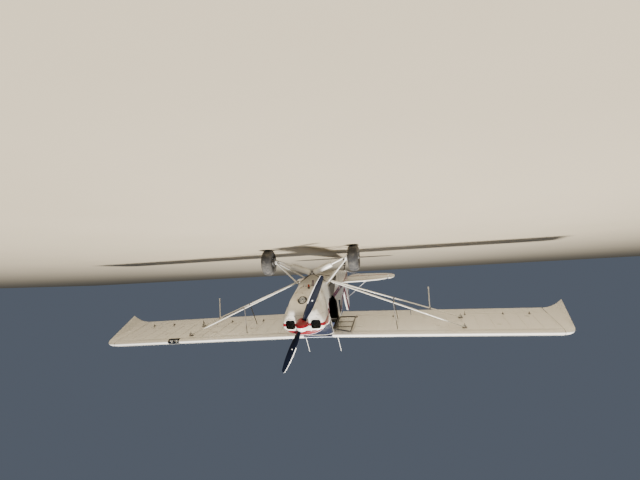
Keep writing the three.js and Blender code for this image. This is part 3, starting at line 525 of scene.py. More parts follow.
def noise(tree, vector, scale, detail=3.0, roughness=0.55):
    made = node(tree, "TexNoise", {"Vector": vector, "Scale": scale, "Detail": detail,
                                   "Roughness": roughness})
    return made.outputs[0]


def object_place(tree):
    return node(tree, "TexCoord").outputs["Object"]


SOCKETS = {"color": "NodeSocketColor", "value": "NodeSocketFloat", "vector": "NodeSocketVector"}


def new_group(name, inputs, outputs):
    """An empty shader group with named sockets: its tree, its inputs and the sockets of its result"""
    tree = bpy.data.node_groups.new(name, "ShaderNodeTree")
    for label, kind, default in inputs:
        socket = tree.interface.new_socket(label, in_out="INPUT", socket_type=SOCKETS[kind])
        socket.default_value = default
    for label, kind in outputs:
        tree.interface.new_socket(label, in_out="OUTPUT", socket_type=SOCKETS[kind])
    source = tree.nodes.new("NodeGroupInput")
    result = tree.nodes.new("NodeGroupOutput")
    return tree, source.outputs, result.inputs


def placed(tree, group, inputs=None):
    made = tree.nodes.new("ShaderNodeGroup")
    made.node_tree = group
    return filled(tree, made, inputs).outputs


def airframe_place(tree):
    """Object coordinates turned back into the airframe's own frame"""
    turn = node(tree, "Mapping", {"Vector": object_place(tree), "Location": TO_AIRFRAME.to_translation(),
                                  "Rotation": (GROUND_ANGLE, 0, 0)})
    return turn.outputs[0]


WHITE = (0.80, 0.785, 0.735, 1)
CRIMSON = (0.19, 0.002, 0.009, 1)
DUST = (0.42, 0.36, 0.27, 1)
GRIME = (0.11, 0.09, 0.065, 1)
LOW_BROWN = (0.17, 0.115, 0.05, 1)


def make_weathering():
    """Paint that has stood outdoors: slow changes of shade, dust on top, streaks that run down"""
    tree, given, result = new_group(
        "weathering",
        [("Paint", "color", WHITE), ("Dust", "color", DUST), ("Dust amount", "value", 0.15),
         ("Mottle", "value", 0.1), ("Roughness", "value", 0.3), ("Streaks", "value", 0.1)],
        [("Color", "color"), ("Roughness", "value")])
    place = object_place(tree)
    broad = noise(tree, place, 2.2, 4)
    fine = noise(tree, place, 34.0, 5, 0.65)
    drawn = node(tree, "Mapping", {"Vector": place, "Scale": (26, 26, 1.6)}).outputs[0]
    runs = stepped(tree, noise(tree, drawn, 1.0, 4), 0.52, 0.78)
    up = node(tree, "SeparateXYZ", {0: node(tree, "NewGeometry").outputs["Normal"]}).outputs[2]
    lying = sums(tree, "MULTIPLY", stepped(tree, up, 0.1, 0.95), stepped(tree, fine, 0.35, 0.7))
    patchy = sums(tree, "MULTIPLY", stepped(tree, broad, 0.35, 0.75), given["Mottle"])
    shade = mixed(tree, patchy, given["Paint"], given["Dust"], "MULTIPLY")
    streaked = mixed(tree, sums(tree, "MULTIPLY", runs, given["Streaks"]), shade, GRIME)
    dusty = mixed(tree, sums(tree, "MULTIPLY", lying, given["Dust amount"]), streaked, given["Dust"])
    tree.links.new(dusty, result["Color"])
    rough = sums(tree, "ADD", given["Roughness"], sums(tree, "MULTIPLY", fine, 0.12))
    rough = sums(tree, "ADD", rough, sums(tree, "MULTIPLY", lying, given["Dust amount"]))
    tree.links.new(rough, result["Roughness"])
    return tree


def make_edge_wear():
    """Paint rubbed off along edges"""
    tree, given, result = new_group(
        "edge_wear",
        [("Paint", "color", WHITE), ("Bare", "color", (0.5, 0.5, 0.5, 1)), ("Amount", "value", 0.5)],
        [("Color", "color"), ("Mask", "value")])
    edge = node(tree, "NewGeometry").outputs["Pointiness"]
    scuffs = noise(tree, object_place(tree), 60.0, 5, 0.7)
    sharp = stepped(tree, edge, 0.53, 0.62)
    mask = sums(tree, "MULTIPLY", sums(tree, "MULTIPLY", sharp, stepped(tree, scuffs, 0.42, 0.6)),
                given["Amount"])
    tree.links.new(mixed(tree, mask, given["Paint"], given["Bare"]), result["Color"])
    tree.links.new(mask, result["Mask"])
    return tree


def make_weave():
    """The fine crossing threads of doped fabric or of cloth, as a normal"""
    tree, given, result = new_group(
        "weave", [("Threads per metre", "value", 700.0), ("Depth", "value", 0.15)], [("Normal", "vector")])
    place = object_place(tree)
    x, y, z = node(tree, "SeparateXYZ", {0: place}).outputs
    turn = sums(tree, "MULTIPLY", given["Threads per metre"], pi)
    warp = sums(tree, "ABSOLUTE", sums(tree, "SINE", sums(tree, "MULTIPLY", sums(tree, "ADD", x, z), turn)))
    weft = sums(tree, "ABSOLUTE", sums(tree, "SINE",
                                       sums(tree, "MULTIPLY", sums(tree, "SUBTRACT", y, z), turn)))
    height = sums(tree, "ADD", sums(tree, "MULTIPLY", warp, weft), noise(tree, place, 9.0, 2))
    bump = node(tree, "Bump", {"Height": height, "Strength": given["Depth"], "Distance": 0.001})
    tree.links.new(bump.outputs[0], result["Normal"])
    return tree


def make_low_brown_marks():
    """Brown patches and streaks stretched fore and aft, stronger the lower they sit on the cowl"""
    tree, given, result = new_group("low_brown_marks", [("Paint", "color", WHITE), ("Amount", "value", 0.5)],
                                    [("Color", "color")])
    place = airframe_place(tree)
    low = stepped(tree, node(tree, "SeparateXYZ", {0: place}).outputs[2], 0.95, 0.55)
    drawn = node(tree, "Mapping", {"Vector": place, "Scale": (14, 5, 9)}).outputs[0]
    film = stepped(tree, noise(tree, place, 3.5, 4), 0.3, 0.75)
    marks = stepped(tree, noise(tree, drawn, 1.0, 5, 0.65), 0.56, 0.72)
    share = sums(tree, "MULTIPLY", low, sums(tree, "MULTIPLY_ADD", film, 0.35, marks), clamp=True)
    share = sums(tree, "MULTIPLY", share, given["Amount"])
    tree.links.new(mixed(tree, share, given["Paint"], LOW_BROWN), result["Color"])
    return tree


def float_curve(tree, value, points, low, high, out_low, out_high):
    """A curve through points, read as a value: both ranges are given in metres"""
    share = node(tree, "MapRange", {0: value, 1: low, 2: high}).outputs[0]
    curve = node(tree, "FloatCurve", {"Value": share})
    line = curve.mapping.curves[0]
    for _ in points[1:-1]:
        line.points.new(0.5, 0.5)
    for spot, (x, y) in zip(line.points, points):
        spot.location = ((x - low) / (high - low), (y - out_low) / (out_high - out_low))
    curve.mapping.update()
    return node(tree, "MapRange", {0: curve.outputs[0], 3: out_low, 4: out_high}).outputs[0]


def band(tree, distance, half_width, edge=0.004):
    """1 inside a band about a line, 0 outside it"""
    return stepped(tree, sums(tree, "ABSOLUTE", distance), half_width + edge, half_width - edge)


# The crimson stripes, drawn on the aircraft's side: aft of the leading edge, up from the axle
COWL_STRIPE = [(-1.26, 1.028), (-1.12, 1.04), (-1.0, 1.032), (-0.7, 1.045), (-0.35, 1.075), (-0.05, 1.1)]
SIDE_STRIPE = [(-0.15, 1.0), (0.3, 0.965), (0.83, 0.985), (1.14, 1.012), (1.45, 1.04), (1.9, 1.09),
               (2.6, 1.21), (3.8, 1.36), (5.0, 1.46)]
TOP_STRIPE = [(1.35, 1.60), (1.6, 1.54), (2.2, 1.495), (3.0, 1.5), (4.0, 1.535), (5.0, 1.56)]
FIN_FOOT = (4.05, 1.59)
FIN_LEAN = Vector((0.62, 0.785))


def make_livery():
    """White with crimson stripes along the side, over the cowl and across the fin"""
    tree, given, result = new_group(
        "livery", [("White", "color", WHITE), ("Crimson", "color", CRIMSON)],
        [("Color", "color"), ("Crimson mask", "value")])
    x, y, z = node(tree, "SeparateXYZ", {0: airframe_place(tree)}).outputs
    beside = sums(tree, "ABSOLUTE", x)

    def less(value, by):
        return sums(tree, "SUBTRACT", value, by)

    def kept(mask, *limits):
        """A mask kept to a region: each limit is a value, where the mask ends and where it is whole"""
        for value, none, whole in limits:
            mask = sums(tree, "MULTIPLY", mask, stepped(tree, value, none, whole))
        return mask
    cowl_line = float_curve(tree, y, COWL_STRIPE, -1.26, -0.05, 1.0, 1.2)
    widening = node(tree, "MapRange", {0: y, 1: -1.26, 2: -1.0, 3: 0.022, 4: 0.06}).outputs[0]
    away = sums(tree, "ABSOLUTE", less(z, cowl_line))
    front = kept(stepped(tree, less(away, widening), 0.003, -0.003), (beside, 0.02, 0.03), (y, -0.1, -0.115))
    side = band(tree, less(z, float_curve(tree, y, SIDE_STRIPE, -0.15, 5.0, 0.9, 1.5)), 0.055)
    reach = sums(tree, "MULTIPLY_ADD", y, -0.09, 0.5)
    side = sums(tree, "MAXIMUM", kept(side, (less(reach, beside), 0.0, 0.01), (y, -0.12, -0.105)), front)
    top_line = float_curve(tree, y, TOP_STRIPE, 1.35, 5.0, 1.45, 1.65)
    top = kept(band(tree, less(z, top_line), 0.052), (y, 1.42, 1.44), (y, 4.1, 4.05))
    crest = sums(tree, "MULTIPLY_ADD", sums(tree, "MULTIPLY", x, x), -0.12, 1.228)
    crest = sums(tree, "MULTIPLY_ADD", y, 0.06, crest)
    hood = kept(stepped(tree, less(z, crest), -0.003, 0.003), (beside, 0.37, 0.36), (y, -0.34, -0.35))
    aft, rise = less(y, FIN_FOOT[0]), less(z, FIN_FOOT[1])
    behind = less(sums(tree, "MULTIPLY", aft, FIN_LEAN.y), sums(tree, "MULTIPLY", rise, FIN_LEAN.x))
    fin = sums(tree, "MAXIMUM", band(tree, less(behind, 0.16), 0.1), band(tree, less(behind, 0.62), 0.05))
    fin = kept(fin, (z, 1.6, 1.61), (y, 4.0, 4.02))
    low_tail = kept(band(tree, sums(tree, "ADD", less(y, 5.12), less(z, 1.42)), 0.05), (y, 4.98, 4.985))
    mask = hood
    for part in (side, top, fin, low_tail):
        mask = sums(tree, "MAXIMUM", mask, part)
    tree.links.new(mixed(tree, mask, given["White"], given["Crimson"]), result["Color"])
    tree.links.new(mask, result["Crimson mask"])
    return tree


WEATHERING = make_weathering()
EDGE_WEAR = make_edge_wear()
WEAVE = make_weave()
LIVERY = make_livery()
LOW_BROWN_MARKS = make_low_brown_marks()


def new_material(name, **constants):
    """A material with its Principled shader, and values that are the same all over it"""
    material = bpy.data.materials.new(name)
    material.use_nodes = True
    tree = material.node_tree
    shader = tree.nodes["Principled BSDF"]
    for label, value in constants.items():
        shader.inputs[label.replace("_", " ")].default_value = value
    return material, tree, shader


def feed(tree, shader, **sockets):
    for label, value in sockets.items():
        tree.links.new(value, shader.inputs[label.replace("_", " ")])


def painted(name, colour, roughness=0.28, coat=0.3, dust=0.12, mottle=0.1, streaks=0.08, stripes=False,
            wear=0.0, bare=(0.55, 0.55, 0.55, 1), weave=0.0, threads=700.0, specular=0.5, low_brown=0.0):
    """Weathered paint, on metal or on doped fabric"""
    material, tree, shader = new_material(name, Coat_Weight=coat, Coat_Roughness=0.12,
                                          Specular_IOR_Level=specular)
    paint = colour
    if stripes:
        paint = placed(tree, LIVERY, {"White": colour})["Color"]
    if low_brown > 0:
        paint = placed(tree, LOW_BROWN_MARKS, {"Paint": paint, "Amount": low_brown})["Color"]
    worn = placed(tree, WEATHERING, {"Paint": paint, "Dust amount": dust, "Mottle": mottle,
                                     "Roughness": roughness, "Streaks": streaks})
    colour_out = worn["Color"]
    if wear > 0:
        colour_out = placed(tree, EDGE_WEAR, {"Paint": colour_out, "Bare": bare, "Amount": wear})["Color"]
    feed(tree, shader, Base_Color=colour_out, Roughness=worn["Roughness"])
    if weave > 0:
        feed(tree, shader, Normal=placed(tree, WEAVE, {"Threads per metre": threads,
                                                       "Depth": weave})["Normal"])
    return material


def metal(name, colour, roughness, grain=0.1, scale=(3, 60, 60), dust=0.05, rust=0.0):
    """Bare metal with a drawn grain, a little dust and, where asked, rust in its low spots"""
    material, tree, shader = new_material(name, Metallic=1.0)
    place = object_place(tree)
    drawn = node(tree, "Mapping", {"Vector": place, "Scale": scale}).outputs[0]
    lines = noise(tree, drawn, 3.0, 5, 0.7)
    worn = placed(tree, WEATHERING, {"Paint": colour, "Dust amount": dust, "Roughness": roughness,
                                     "Mottle": 0.15, "Streaks": 0.05})
    spots = sums(tree, "MULTIPLY", stepped(tree, noise(tree, place, 22.0, 6, 0.7), 0.5, 0.68), rust)
    shade = mixed(tree, spots, worn["Color"], (0.16, 0.06, 0.025, 1))
    rough = sums(tree, "MULTIPLY_ADD", lines, grain, worn["Roughness"])
    feed(tree, shader, Base_Color=shade, Roughness=rough, Metallic=sums(tree, "SUBTRACT", 1.0, spots))
    bump = node(tree, "Bump", {"Height": lines, "Strength": 0.12, "Distance": 0.0008})
    feed(tree, shader, Normal=bump.outputs[0])
    return material


def clear_sheet(name, tint, roughness=0.02, through=1.0):
    """Clear acrylic, with faint dust and wiping marks in its gloss"""
    material, tree, shader = new_material(name, Transmission_Weight=through, IOR=1.49, Metallic=0.0)
    place = object_place(tree)
    wiped = noise(tree, node(tree, "Mapping", {"Vector": place, "Scale": (5, 30, 30)}).outputs[0], 2.0, 4)
    haze = stepped(tree, noise(tree, place, 3.0, 5), 0.45, 0.8)
    rough = sums(tree, "ADD", sums(tree, "MULTIPLY", wiped, 0.05), sums(tree, "MULTIPLY", haze, 0.08))
    feed(tree, shader, Base_Color=mixed(tree, sums(tree, "MULTIPLY", haze, 0.3), tint, (0.75, 0.75, 0.72, 1)),
         Roughness=sums(tree, "ADD", rough, roughness))
    return material


def rubber(name, colour, dusty=0.5):
    """Tyre rubber with fine grain, and dust in its grooves and on its tread"""
    material, tree, shader = new_material(name, Specular_IOR_Level=0.35)
    place = object_place(tree)
    grain = noise(tree, place, 420.0, 3, 0.7)
    blotch = stepped(tree, noise(tree, place, 9.0, 5, 0.6), 0.35, 0.7)
    share = sums(tree, "MULTIPLY", blotch, dusty)
    feed(tree, shader, Base_Color=mixed(tree, share, colour, (0.27, 0.25, 0.215, 1)),
         Roughness=sums(tree, "MULTIPLY_ADD", grain, 0.15, 0.72))
    bump = node(tree, "Bump", {"Height": grain, "Strength": 0.35, "Distance": 0.0006})
    feed(tree, shader, Normal=bump.outputs[0])
    return material


def cloth(name, colour, second, threads=500.0, depth=0.5):
    """Woven cloth with two shades of yarn, faded in places"""
    material, tree, shader = new_material(name, Sheen_Weight=0.3, Sheen_Roughness=0.4, Roughness=0.9)
    place = object_place(tree)
    fade = stepped(tree, noise(tree, place, 6.0, 4), 0.3, 0.75)
    yarn = stepped(tree, noise(tree, place, 900.0, 2), 0.4, 0.6)
    mix = mixed(tree, sums(tree, "MULTIPLY_ADD", yarn, 0.4, sums(tree, "MULTIPLY", fade, 0.35)),
                colour, second)
    feed(tree, shader, Base_Color=mix,
         Normal=placed(tree, WEAVE, {"Threads per metre": threads, "Depth": depth})["Normal"])
    return material


def make_spinner_paint_and_highlight():
    """The spinner as parked: crimson, with white above a level line as a painted highlight of sunlight on its
    top
    """
    material, tree, shader = new_material("spinner_crimson_and_highlight", Coat_Weight=0.15, Coat_Roughness=0.08,
                                          Specular_IOR_Level=0.35)
    height = node(tree, "SeparateXYZ", {0: airframe_place(tree)}).outputs[2]
    # White above this level line is a painted highlight on the crimson spinner's top, not paint it has
    share = stepped(tree, height, THRUST_Z + 0.016, THRUST_Z + 0.012)
    worn = placed(tree, WEATHERING, {"Paint": mixed(tree, share, WHITE, CRIMSON), "Roughness": 0.2,
                                     "Dust amount": 0.0, "Mottle": 0.05, "Streaks": 0.02})
    chipped = placed(tree, EDGE_WEAR, {"Paint": worn["Color"], "Amount": 0.15})
    feed(tree, shader, Base_Color=chipped["Color"], Roughness=worn["Roughness"])
    return material


def make_heated_steel():
    """Exhaust steel, with straw and blue where it has been hot"""
    material, tree, shader = new_material("heated_steel", Metallic=1.0)
    place = object_place(tree)
    tone = node(tree, "ValToRGB", {0: noise(tree, place, 12.0, 4)})
    tone.color_ramp.elements[0].color = (0.16, 0.10, 0.06, 1)
    tone.color_ramp.elements[1].color = (0.34, 0.30, 0.26, 1)
    blue = tone.color_ramp.elements.new(0.5)
    blue.color = (0.17, 0.15, 0.17, 1)
    feed(tree, shader, Base_Color=tone.outputs[0],
         Roughness=sums(tree, "MULTIPLY_ADD", noise(tree, place, 70.0, 5), 0.3, 0.3))
    return material


def make_floor_paint():
    material, tree, shader = new_material("studio_floor", Specular_IOR_Level=0.15)
    shade = noise(tree, object_place(tree), 0.6, 4)
    feed(tree, shader, Base_Color=mixed(tree, shade, (0.385, 0.33, 0.24, 1), (0.42, 0.365, 0.27, 1)),
         Roughness=stepped(tree, shade, 0.2, 0.8, 0.75, 0.9))
    return material


FABRIC = painted("doped_fabric", WHITE, 0.2, 0.4, 0.08, 0.12, 0.06, stripes=True, weave=0.06, threads=520.0)
WING_FABRIC = painted("wing_fabric", WHITE, 0.1, 0.5, 0.05, 0.06, 0.0, weave=0.02, threads=520.0)
COWL_PAINT = painted("cowl_paint", WHITE, 0.2, 0.5, 0.08, 0.12, 0.12, stripes=True, wear=0.4, low_brown=0.9)
PLAIN_PAINT = painted("white_enamel", WHITE, 0.3, 0.25, 0.1, 0.15, 0.12, wear=0.35)
TAPE_PAINT = painted("tape_paint", WHITE, 0.16, 0.4, 0.06, 0.06, 0.0, weave=0.05, threads=900.0)
NAVY_PAINT = painted("propeller_paint", (0.005, 0.007, 0.015, 1), 0.28, 0.0, 0.01, 0.05, 0.02, wear=0.3,
                     bare=(0.12, 0.11, 0.10, 1), specular=0.12)
PALE_STRIP = painted("pale_strip", (0.88, 0.87, 0.84, 1), 0.3, 0.2, 0.05, 0.05, 0.05)
# Dark enamel for dark fittings and tubes; on the wing's hinge coves and the flaps' and ailerons' noses the
# same near-black is painted shade in the gaps
DARK_ENAMEL_AND_SHADE = painted("dark_enamel", (0.018, 0.019, 0.021, 1), 0.42, 0.1, 0.12, 0.1, 0.05, wear=0.6,
                      bare=(0.2, 0.18, 0.16, 1))
# Near-black cabin lining: partly its own dark colour, partly painted shade of the cabin's inside
LINING_AND_SHADE = painted("cabin_lining_and_shade", (0.035, 0.031, 0.026, 1), 0.75, 0.0, 0.08, 0.2, 0.0, weave=0.4,
                 threads=300.0)
# Flat black for the panel, glare shield and baffles; the same black is painted shade inside the cowl and in
# the air inlet
PANEL_BLACK_AND_SHADE = painted("panel_black_and_shade", (0.02, 0.02, 0.022, 1), 0.6, 0.0, 0.1, 0.1, 0.0, wear=0.3)
TAG_RED = painted("tag_red", (0.30, 0.035, 0.012, 1), 0.6, 0.0, 0.1, 0.2, 0.1)
BRIGHT_METAL = metal("bright_metal", (0.62, 0.62, 0.63, 1), 0.28)
CAST_ALLOY = metal("cast_alloy", (0.50, 0.51, 0.52, 1), 0.38, 0.15, (20, 20, 20), 0.15)
# Dark rusty steel for springs, fittings and discs; on the jury struts it is also painted shade from the wing
SPRING_STEEL_AND_SHADE = metal("spring_steel_and_shade", (0.22, 0.215, 0.21, 1), 0.45, 0.15, (60, 3, 60), 0.15, rust=0.5)
ENGINE_METAL = metal("engine_metal", (0.24, 0.24, 0.245, 1), 0.5, 0.2, (20, 20, 20), 0.2)
MIRROR = metal("lamp_mirror", (0.86, 0.87, 0.88, 1), 0.2, 0.02, (4, 4, 4), 0.0)
HEATED_STEEL = make_heated_steel()
# Dark slate acrylic: partly its own tint, partly a painted reflection of the sky
ACRYLIC_TINT_AND_REFLECTION = clear_sheet("acrylic", (0.07, 0.08, 0.13, 1), through=0.7)
CLEAR_ACRYLIC = clear_sheet("clear_acrylic", (0.90, 0.90, 0.88, 1))
# Slate for the roof's front: partly the acrylic's tint, partly a painted reflection of the sky
BROW_TINT_AND_REFLECTION = painted("brow_tint_and_reflection", (0.05, 0.055, 0.09, 1), 0.12, 0.6, 0.04, 0.05, 0.0)
LAMP_GLASS = clear_sheet("lamp_glass", (0.95, 0.97, 0.98, 1), 0.04)
TYRE_RUBBER = rubber("tyre_rubber", (0.042, 0.042, 0.044, 1), 0.4)
SEAL_RUBBER = rubber("seal_rubber", (0.02, 0.02, 0.02, 1), 0.2)
SEAT_CLOTH = cloth("seat_cloth", (0.10, 0.085, 0.065, 1), (0.19, 0.165, 0.13, 1))
WEBBING = cloth("webbing", (0.035, 0.04, 0.055, 1), (0.07, 0.075, 0.09, 1), 900.0, 0.7)
SPINNER_PAINT_AND_HIGHLIGHT = make_spinner_paint_and_highlight()


# Wings

THICKNESS = 0.12
CAMBER = 0.04
CAMBER_AT = 0.4


def section_point(share, side):
    """A point of the wing's section: aft of and above its leading edge"""
    x = share
    half = 5 * THICKNESS * (0.2969 * sqrt(x) - 0.126 * x - 0.3516 * x ** 2 + 0.2843 * x ** 3
                            - 0.1036 * x ** 4)
    if x < CAMBER_AT:
        rise = CAMBER / CAMBER_AT ** 2 * (2 * CAMBER_AT * x - x * x)
    else:
        rise = CAMBER / (1 - CAMBER_AT) ** 2 * (1 - 2 * CAMBER_AT + 2 * CAMBER_AT * x - x * x)
    return x * CHORD, (rise + side * half) * CHORD


def wing_point(x, aft, up):
    front_z = WING_LE_Z + (x - WING_ROOT_X) * tan(DIHEDRAL)
    return Vector((x, aft * cos(INCIDENCE) + up * sin(INCIDENCE),
                   front_z + up * cos(INCIDENCE) - aft * sin(INCIDENCE)))


def wing_low(x, y, drop=0.0):
    """A point on the wing's underside"""
    return wing_point(x, y, section_point(y / CHORD, -1)[1] - drop)


def wing_top(x, y, rise=0.0):
    return wing_point(x, y, section_point(y / CHORD, 1)[1] + rise)


NOSE_SHARES = [0.5 * (1 - cos(pi * k / 26)) for k in range(1, 18)]
FRONT_SHARES = [share for share in NOSE_SHARES if share < 0.7] + [0.7]
HINGE_AFT = HINGE_CHORD * CHORD
HINGE_TOP = section_point(HINGE_CHORD, 1)[1]
HINGE_LOW = section_point(HINGE_CHORD, -1)[1]
HINGE_UP = (HINGE_TOP + HINGE_LOW) / 2
FLAP_NOSE = (HINGE_TOP - HINGE_LOW) / 2
COVE = FLAP_NOSE + 0.009
COVE_REACH = asin((FLAP_NOSE + 0.001) / COVE)
TAIL_SHARES = [0.84, 0.9, 0.96]


def hinge_arc(radius, reach, steps=12):
    """From straight above the hinge, round its front, to straight below"""
    arc = []
    for i in range(steps + 1):
        angle = pi - reach + 2 * reach * i / steps
        arc.append((HINGE_AFT + radius * cos(angle), HINGE_UP + radius * sin(angle)))
    return arc


front_top = [section_point(share, 1) for share in reversed(FRONT_SHARES)]
front_low = [section_point(share, -1) for share in FRONT_SHARES]
WING_OUTLINE = front_top + [(0, 0)] + front_low + list(reversed(hinge_arc(COVE, COVE_REACH)))
COVE_SHADE_FACES = (len(front_top) + 1 + len(front_low), len(WING_OUTLINE) - 1)
NOSE_SHADE_FACES = (len(TAIL_SHARES) + 4, len(TAIL_SHARES) + 11)
FLAP_OUTLINE = [(CHORD, 0.006)] + [section_point(s, 1) for s in reversed(TAIL_SHARES)] \
    + hinge_arc(FLAP_NOSE, pi / 2) + [section_point(s, -1) for s in TAIL_SHARES] + [(CHORD, -0.003)]
WHOLE_OUTLINE = [(CHORD, 0.006)] + [section_point(s, 1) for s in (0.96, 0.9, 0.8)] + front_top + [(0, 0)] \
    + front_low + [section_point(s, -1) for s in (0.8, 0.9, 0.96)] + [(CHORD, -0.003)]

RIB_PITCH = 0.305
RIB_TAPE_WIDTH = 0.032
SPAR_TAPE_WIDTH = 0.04
TAPE_THICKNESS = 0.0016
AILERON_BRACKETS_X = (2.47, 4.11, 4.68)
AILERON_HORN_X = 3.27
AILERON_BRACKET_Y = 1.2
FLAP_BRACKETS_X = (0.75, 1.62)
FLAP_BRACKET_Y = 1.16
FUEL_CAP_AT = (0.72, 0.42)
RIB_SAG = 0.0032
METAL_NOSE = 0.13
REAR_SPAR_Y = 0.98


def rib_places(start, end, pitch=RIB_PITCH):
    count = max(1, round((end - start) / pitch))
    return [start + (end - start) * i / count for i in range(count + 1)]


def sagged_panel(start, end, outline, pitch=RIB_PITCH, sag=RIB_SAG, rows=6):
    """Fabric drawn over ribs: between two ribs the skin sinks a little, behind the metal nose"""
    ribs = rib_places(start, end, pitch)
    middle = HINGE_UP if outline is FLAP_OUTLINE else 0.05
    rings = []
    for left, right in zip(ribs, ribs[1:]):
        for k in range(rows):
            share = k / rows
            x = left + (right - left) * share
            dip = sag * (1 - (2 * share - 1) ** 2)
            ring = []
            for aft, up in outline:
                past_nose = min(1.0, max(0.0, (aft - METAL_NOSE) / 0.1))
                before_end = min(1.0, max(0.0, (CHORD - aft) / 0.12))
                inward = 1 if up > middle else -1
                ring.append(wing_point(x, aft, up - dip * (past_nose * before_end) * inward))
            rings.append(ring)
    rings.append([wing_point(ribs[-1], aft, up) for aft, up in outline])
    return loft(rings)


def rib_tapes(start, end, shares, pitch=RIB_PITCH, inset=0):
    """Tapes over the ribs, along the top and the underside"""
    strips = []
    for x in rib_places(start, end, pitch)[inset:len(rib_places(start, end, pitch)) - inset]:
        for side, lift in ((1, 0.0012), (-1, -0.0012)):
            path = []
            for share in shares:
                aft, up = section_point(share, side)
                path.append(wing_point(x, aft, up + lift))
            strips.append(ribbon(path, RIB_TAPE_WIDTH, TAPE_THICKNESS, (1, 0, 0)))
    return joined(*strips)


TAPE_SHARES = [0.085, 0.14, 0.2, 0.28, 0.38, 0.48, 0.58, 0.68, 0.74]


def spar_tapes(start, end):
    strips = []
    for y, places in ((METAL_NOSE + 0.012, (wing_top, wing_low)), (REAR_SPAR_Y, (wing_top,))):
        for place in places:
            path = [place(start + (end - start) * k / 4, y, 0.0006) for k in range(5)]
            strips.append(ribbon(path, SPAR_TAPE_WIDTH, TAPE_THICKNESS, (0, 1, 0)))
    return joined(*strips)


def inspection_cover(x, y):
    """A round fabric-edged cover plate under the wing"""
    at = wing_low(x, y, 0.0004)
    down = (wing_low(x, y + 0.05) - wing_low(x, y - 0.05)).cross(Vector((1, 0, 0))).normalized()
    down = down if down.z < 0 else -down
    plate = [(0, 0.004), (0.044, 0.004), (0.047, 0.002), (0.056, 0.0016), (0.058, 0), (0, 0)]
    return aimed(turned(plate, 28), at, down)


COVERS = [(0.9, 0.45), (1.73, 0.62), (2.35, 1.08), (2.62, 0.45), (3.15, 0.36), (3.15, 1.08), (3.9, 0.5),
          (4.6, 1.06)]


def lug_fitting(x, y):
    """The strut's fitting under the wing: two plates, a pin and the tie-down eye"""
    low = wing_low(x, y).z
    plate = rounded([(y - 0.02, low - 0.01, 0.004), (y + 0.02, low - 0.01, 0.004),
                     (y + 0.014, low - 0.07, 0.012), (y - 0.014, low - 0.07, 0.012)])
    cheeks = [slab(plate, 0.004, "x", x + side * 0.026, 0.001) for side in (1, -1)]
    foot = block((x - 0.05, y - 0.035, low - 0.006), (x + 0.05, y + 0.035, low + 0.006), 0.008)
    pin = rod((x - 0.04, y, low - 0.03), (x + 0.04, y, low - 0.03), 0.006, 12, lip=0.001)
    eye = aimed(turned([(0.016 + 0.004 * cos(a), 0.004 * sin(a))
                        for a in (2 * pi * k / 10 for k in range(10))], 24,
                       closed=True), (x, y, low - 0.082), (1, 0, 0))
    bolts = [bolt((x + i * 0.038, y + j * 0.024, low - 0.006), (0, 0, -1), 0.005, 0.004) for i in (-1, 1)
             for j in (-1, 1)]
    return joined(*cheeks, foot, pin, eye, *bolts)


def control_bracket(x, y, drop=0.05):
    """A bracket under the wing at a hinge: a plate on a foot"""
    low = wing_low(x, y)
    horn = rounded([(y - 0.03, low.z + 0.004), (y + 0.05, low.z + 0.004), (y + 0.02, low.z - drop, 0.012),
                    (y - 0.002, low.z - drop, 0.012)])
    return joined(slab(horn, 0.004, "x", x, 0.001),
                  block((x - 0.02, y - 0.035, low.z - 0.004), (x + 0.02, y + 0.055, low.z + 0.004), 0.004))


LAMP_SPAN = (3.35, 3.64)
LAMP_BACK_Y = 0.115
LAMP_PAIR_X = (3.432, 3.558)
LAMP_SET_BACK = 0.052
COVER_SHARES = (0.0712, 0.056, 0.042, 0.03, 0.02, 0.012, 0.006, 0.002)


def wing_lamps(side):
    """Two lamps in a dark pocket of the leading edge, under a clear cover that follows its curve"""
    start, end = LAMP_SPAN
    outer = [section_point(s, 1) for s in COVER_SHARES] + [(0, 0)] \
        + [section_point(s, -1) for s in reversed(COVER_SHARES)]
    inner = []
    for aft, up in outer:
        inward = (Vector((0.09, 0.012)) - Vector((aft, up))).normalized() * 0.003
        inner.append((aft + inward.x, up + inward.y))
    rings = []
    for k in range(7):
        x = start + 0.001 + (end - start - 0.002) * k / 6
        rings.append([wing_point(x, aft, up) for aft, up in outer + list(reversed(inner))])
    make(f"wing_lamp_cover_{side}", [(on_side(loft(rings), side), LAMP_GLASS)], smooth=50)
    bowl = [(0.0, -0.024), (0.012, -0.022), (0.024, -0.015), (0.033, -0.004), (0.037, 0.006), (0.039, 0.006),
            (0.036, -0.006), (0.026, -0.018), (0.013, -0.025), (0.0, -0.027)]
    bezel = [(0.036, 0.003), (0.036, 0.009), (0.042, 0.009), (0.043, 0.0), (0.043, -0.01), (0.04, -0.01)]
    bulb = [(0.0, 0.004), (0.005, 0.002), (0.007, -0.004), (0.007, -0.012), (0.009, -0.016),
            (0.009, -0.024), (0, -0.024)]
    aim = Vector((0, -0.93, -0.37))
    bowls, bezels, bulbs = [], [], []
    for x in LAMP_PAIR_X:
        at = wing_point(x, LAMP_SET_BACK, 0.002)
        bowls.append(aimed(turned(bowl, 40), at, aim))
        bezels.append(aimed(turned(bezel, 40, closed=True), at, aim))
        bulbs.append(aimed(turned(bulb, 16), at, aim))
    make(f"wing_lamp_pair_{side}", [(on_side(joined(*bowls), side), MIRROR),
                                    (on_side(joined(*bezels), side), DARK_ENAMEL_AND_SHADE),
                                    (on_side(joined(*bulbs), side), BRIGHT_METAL)])


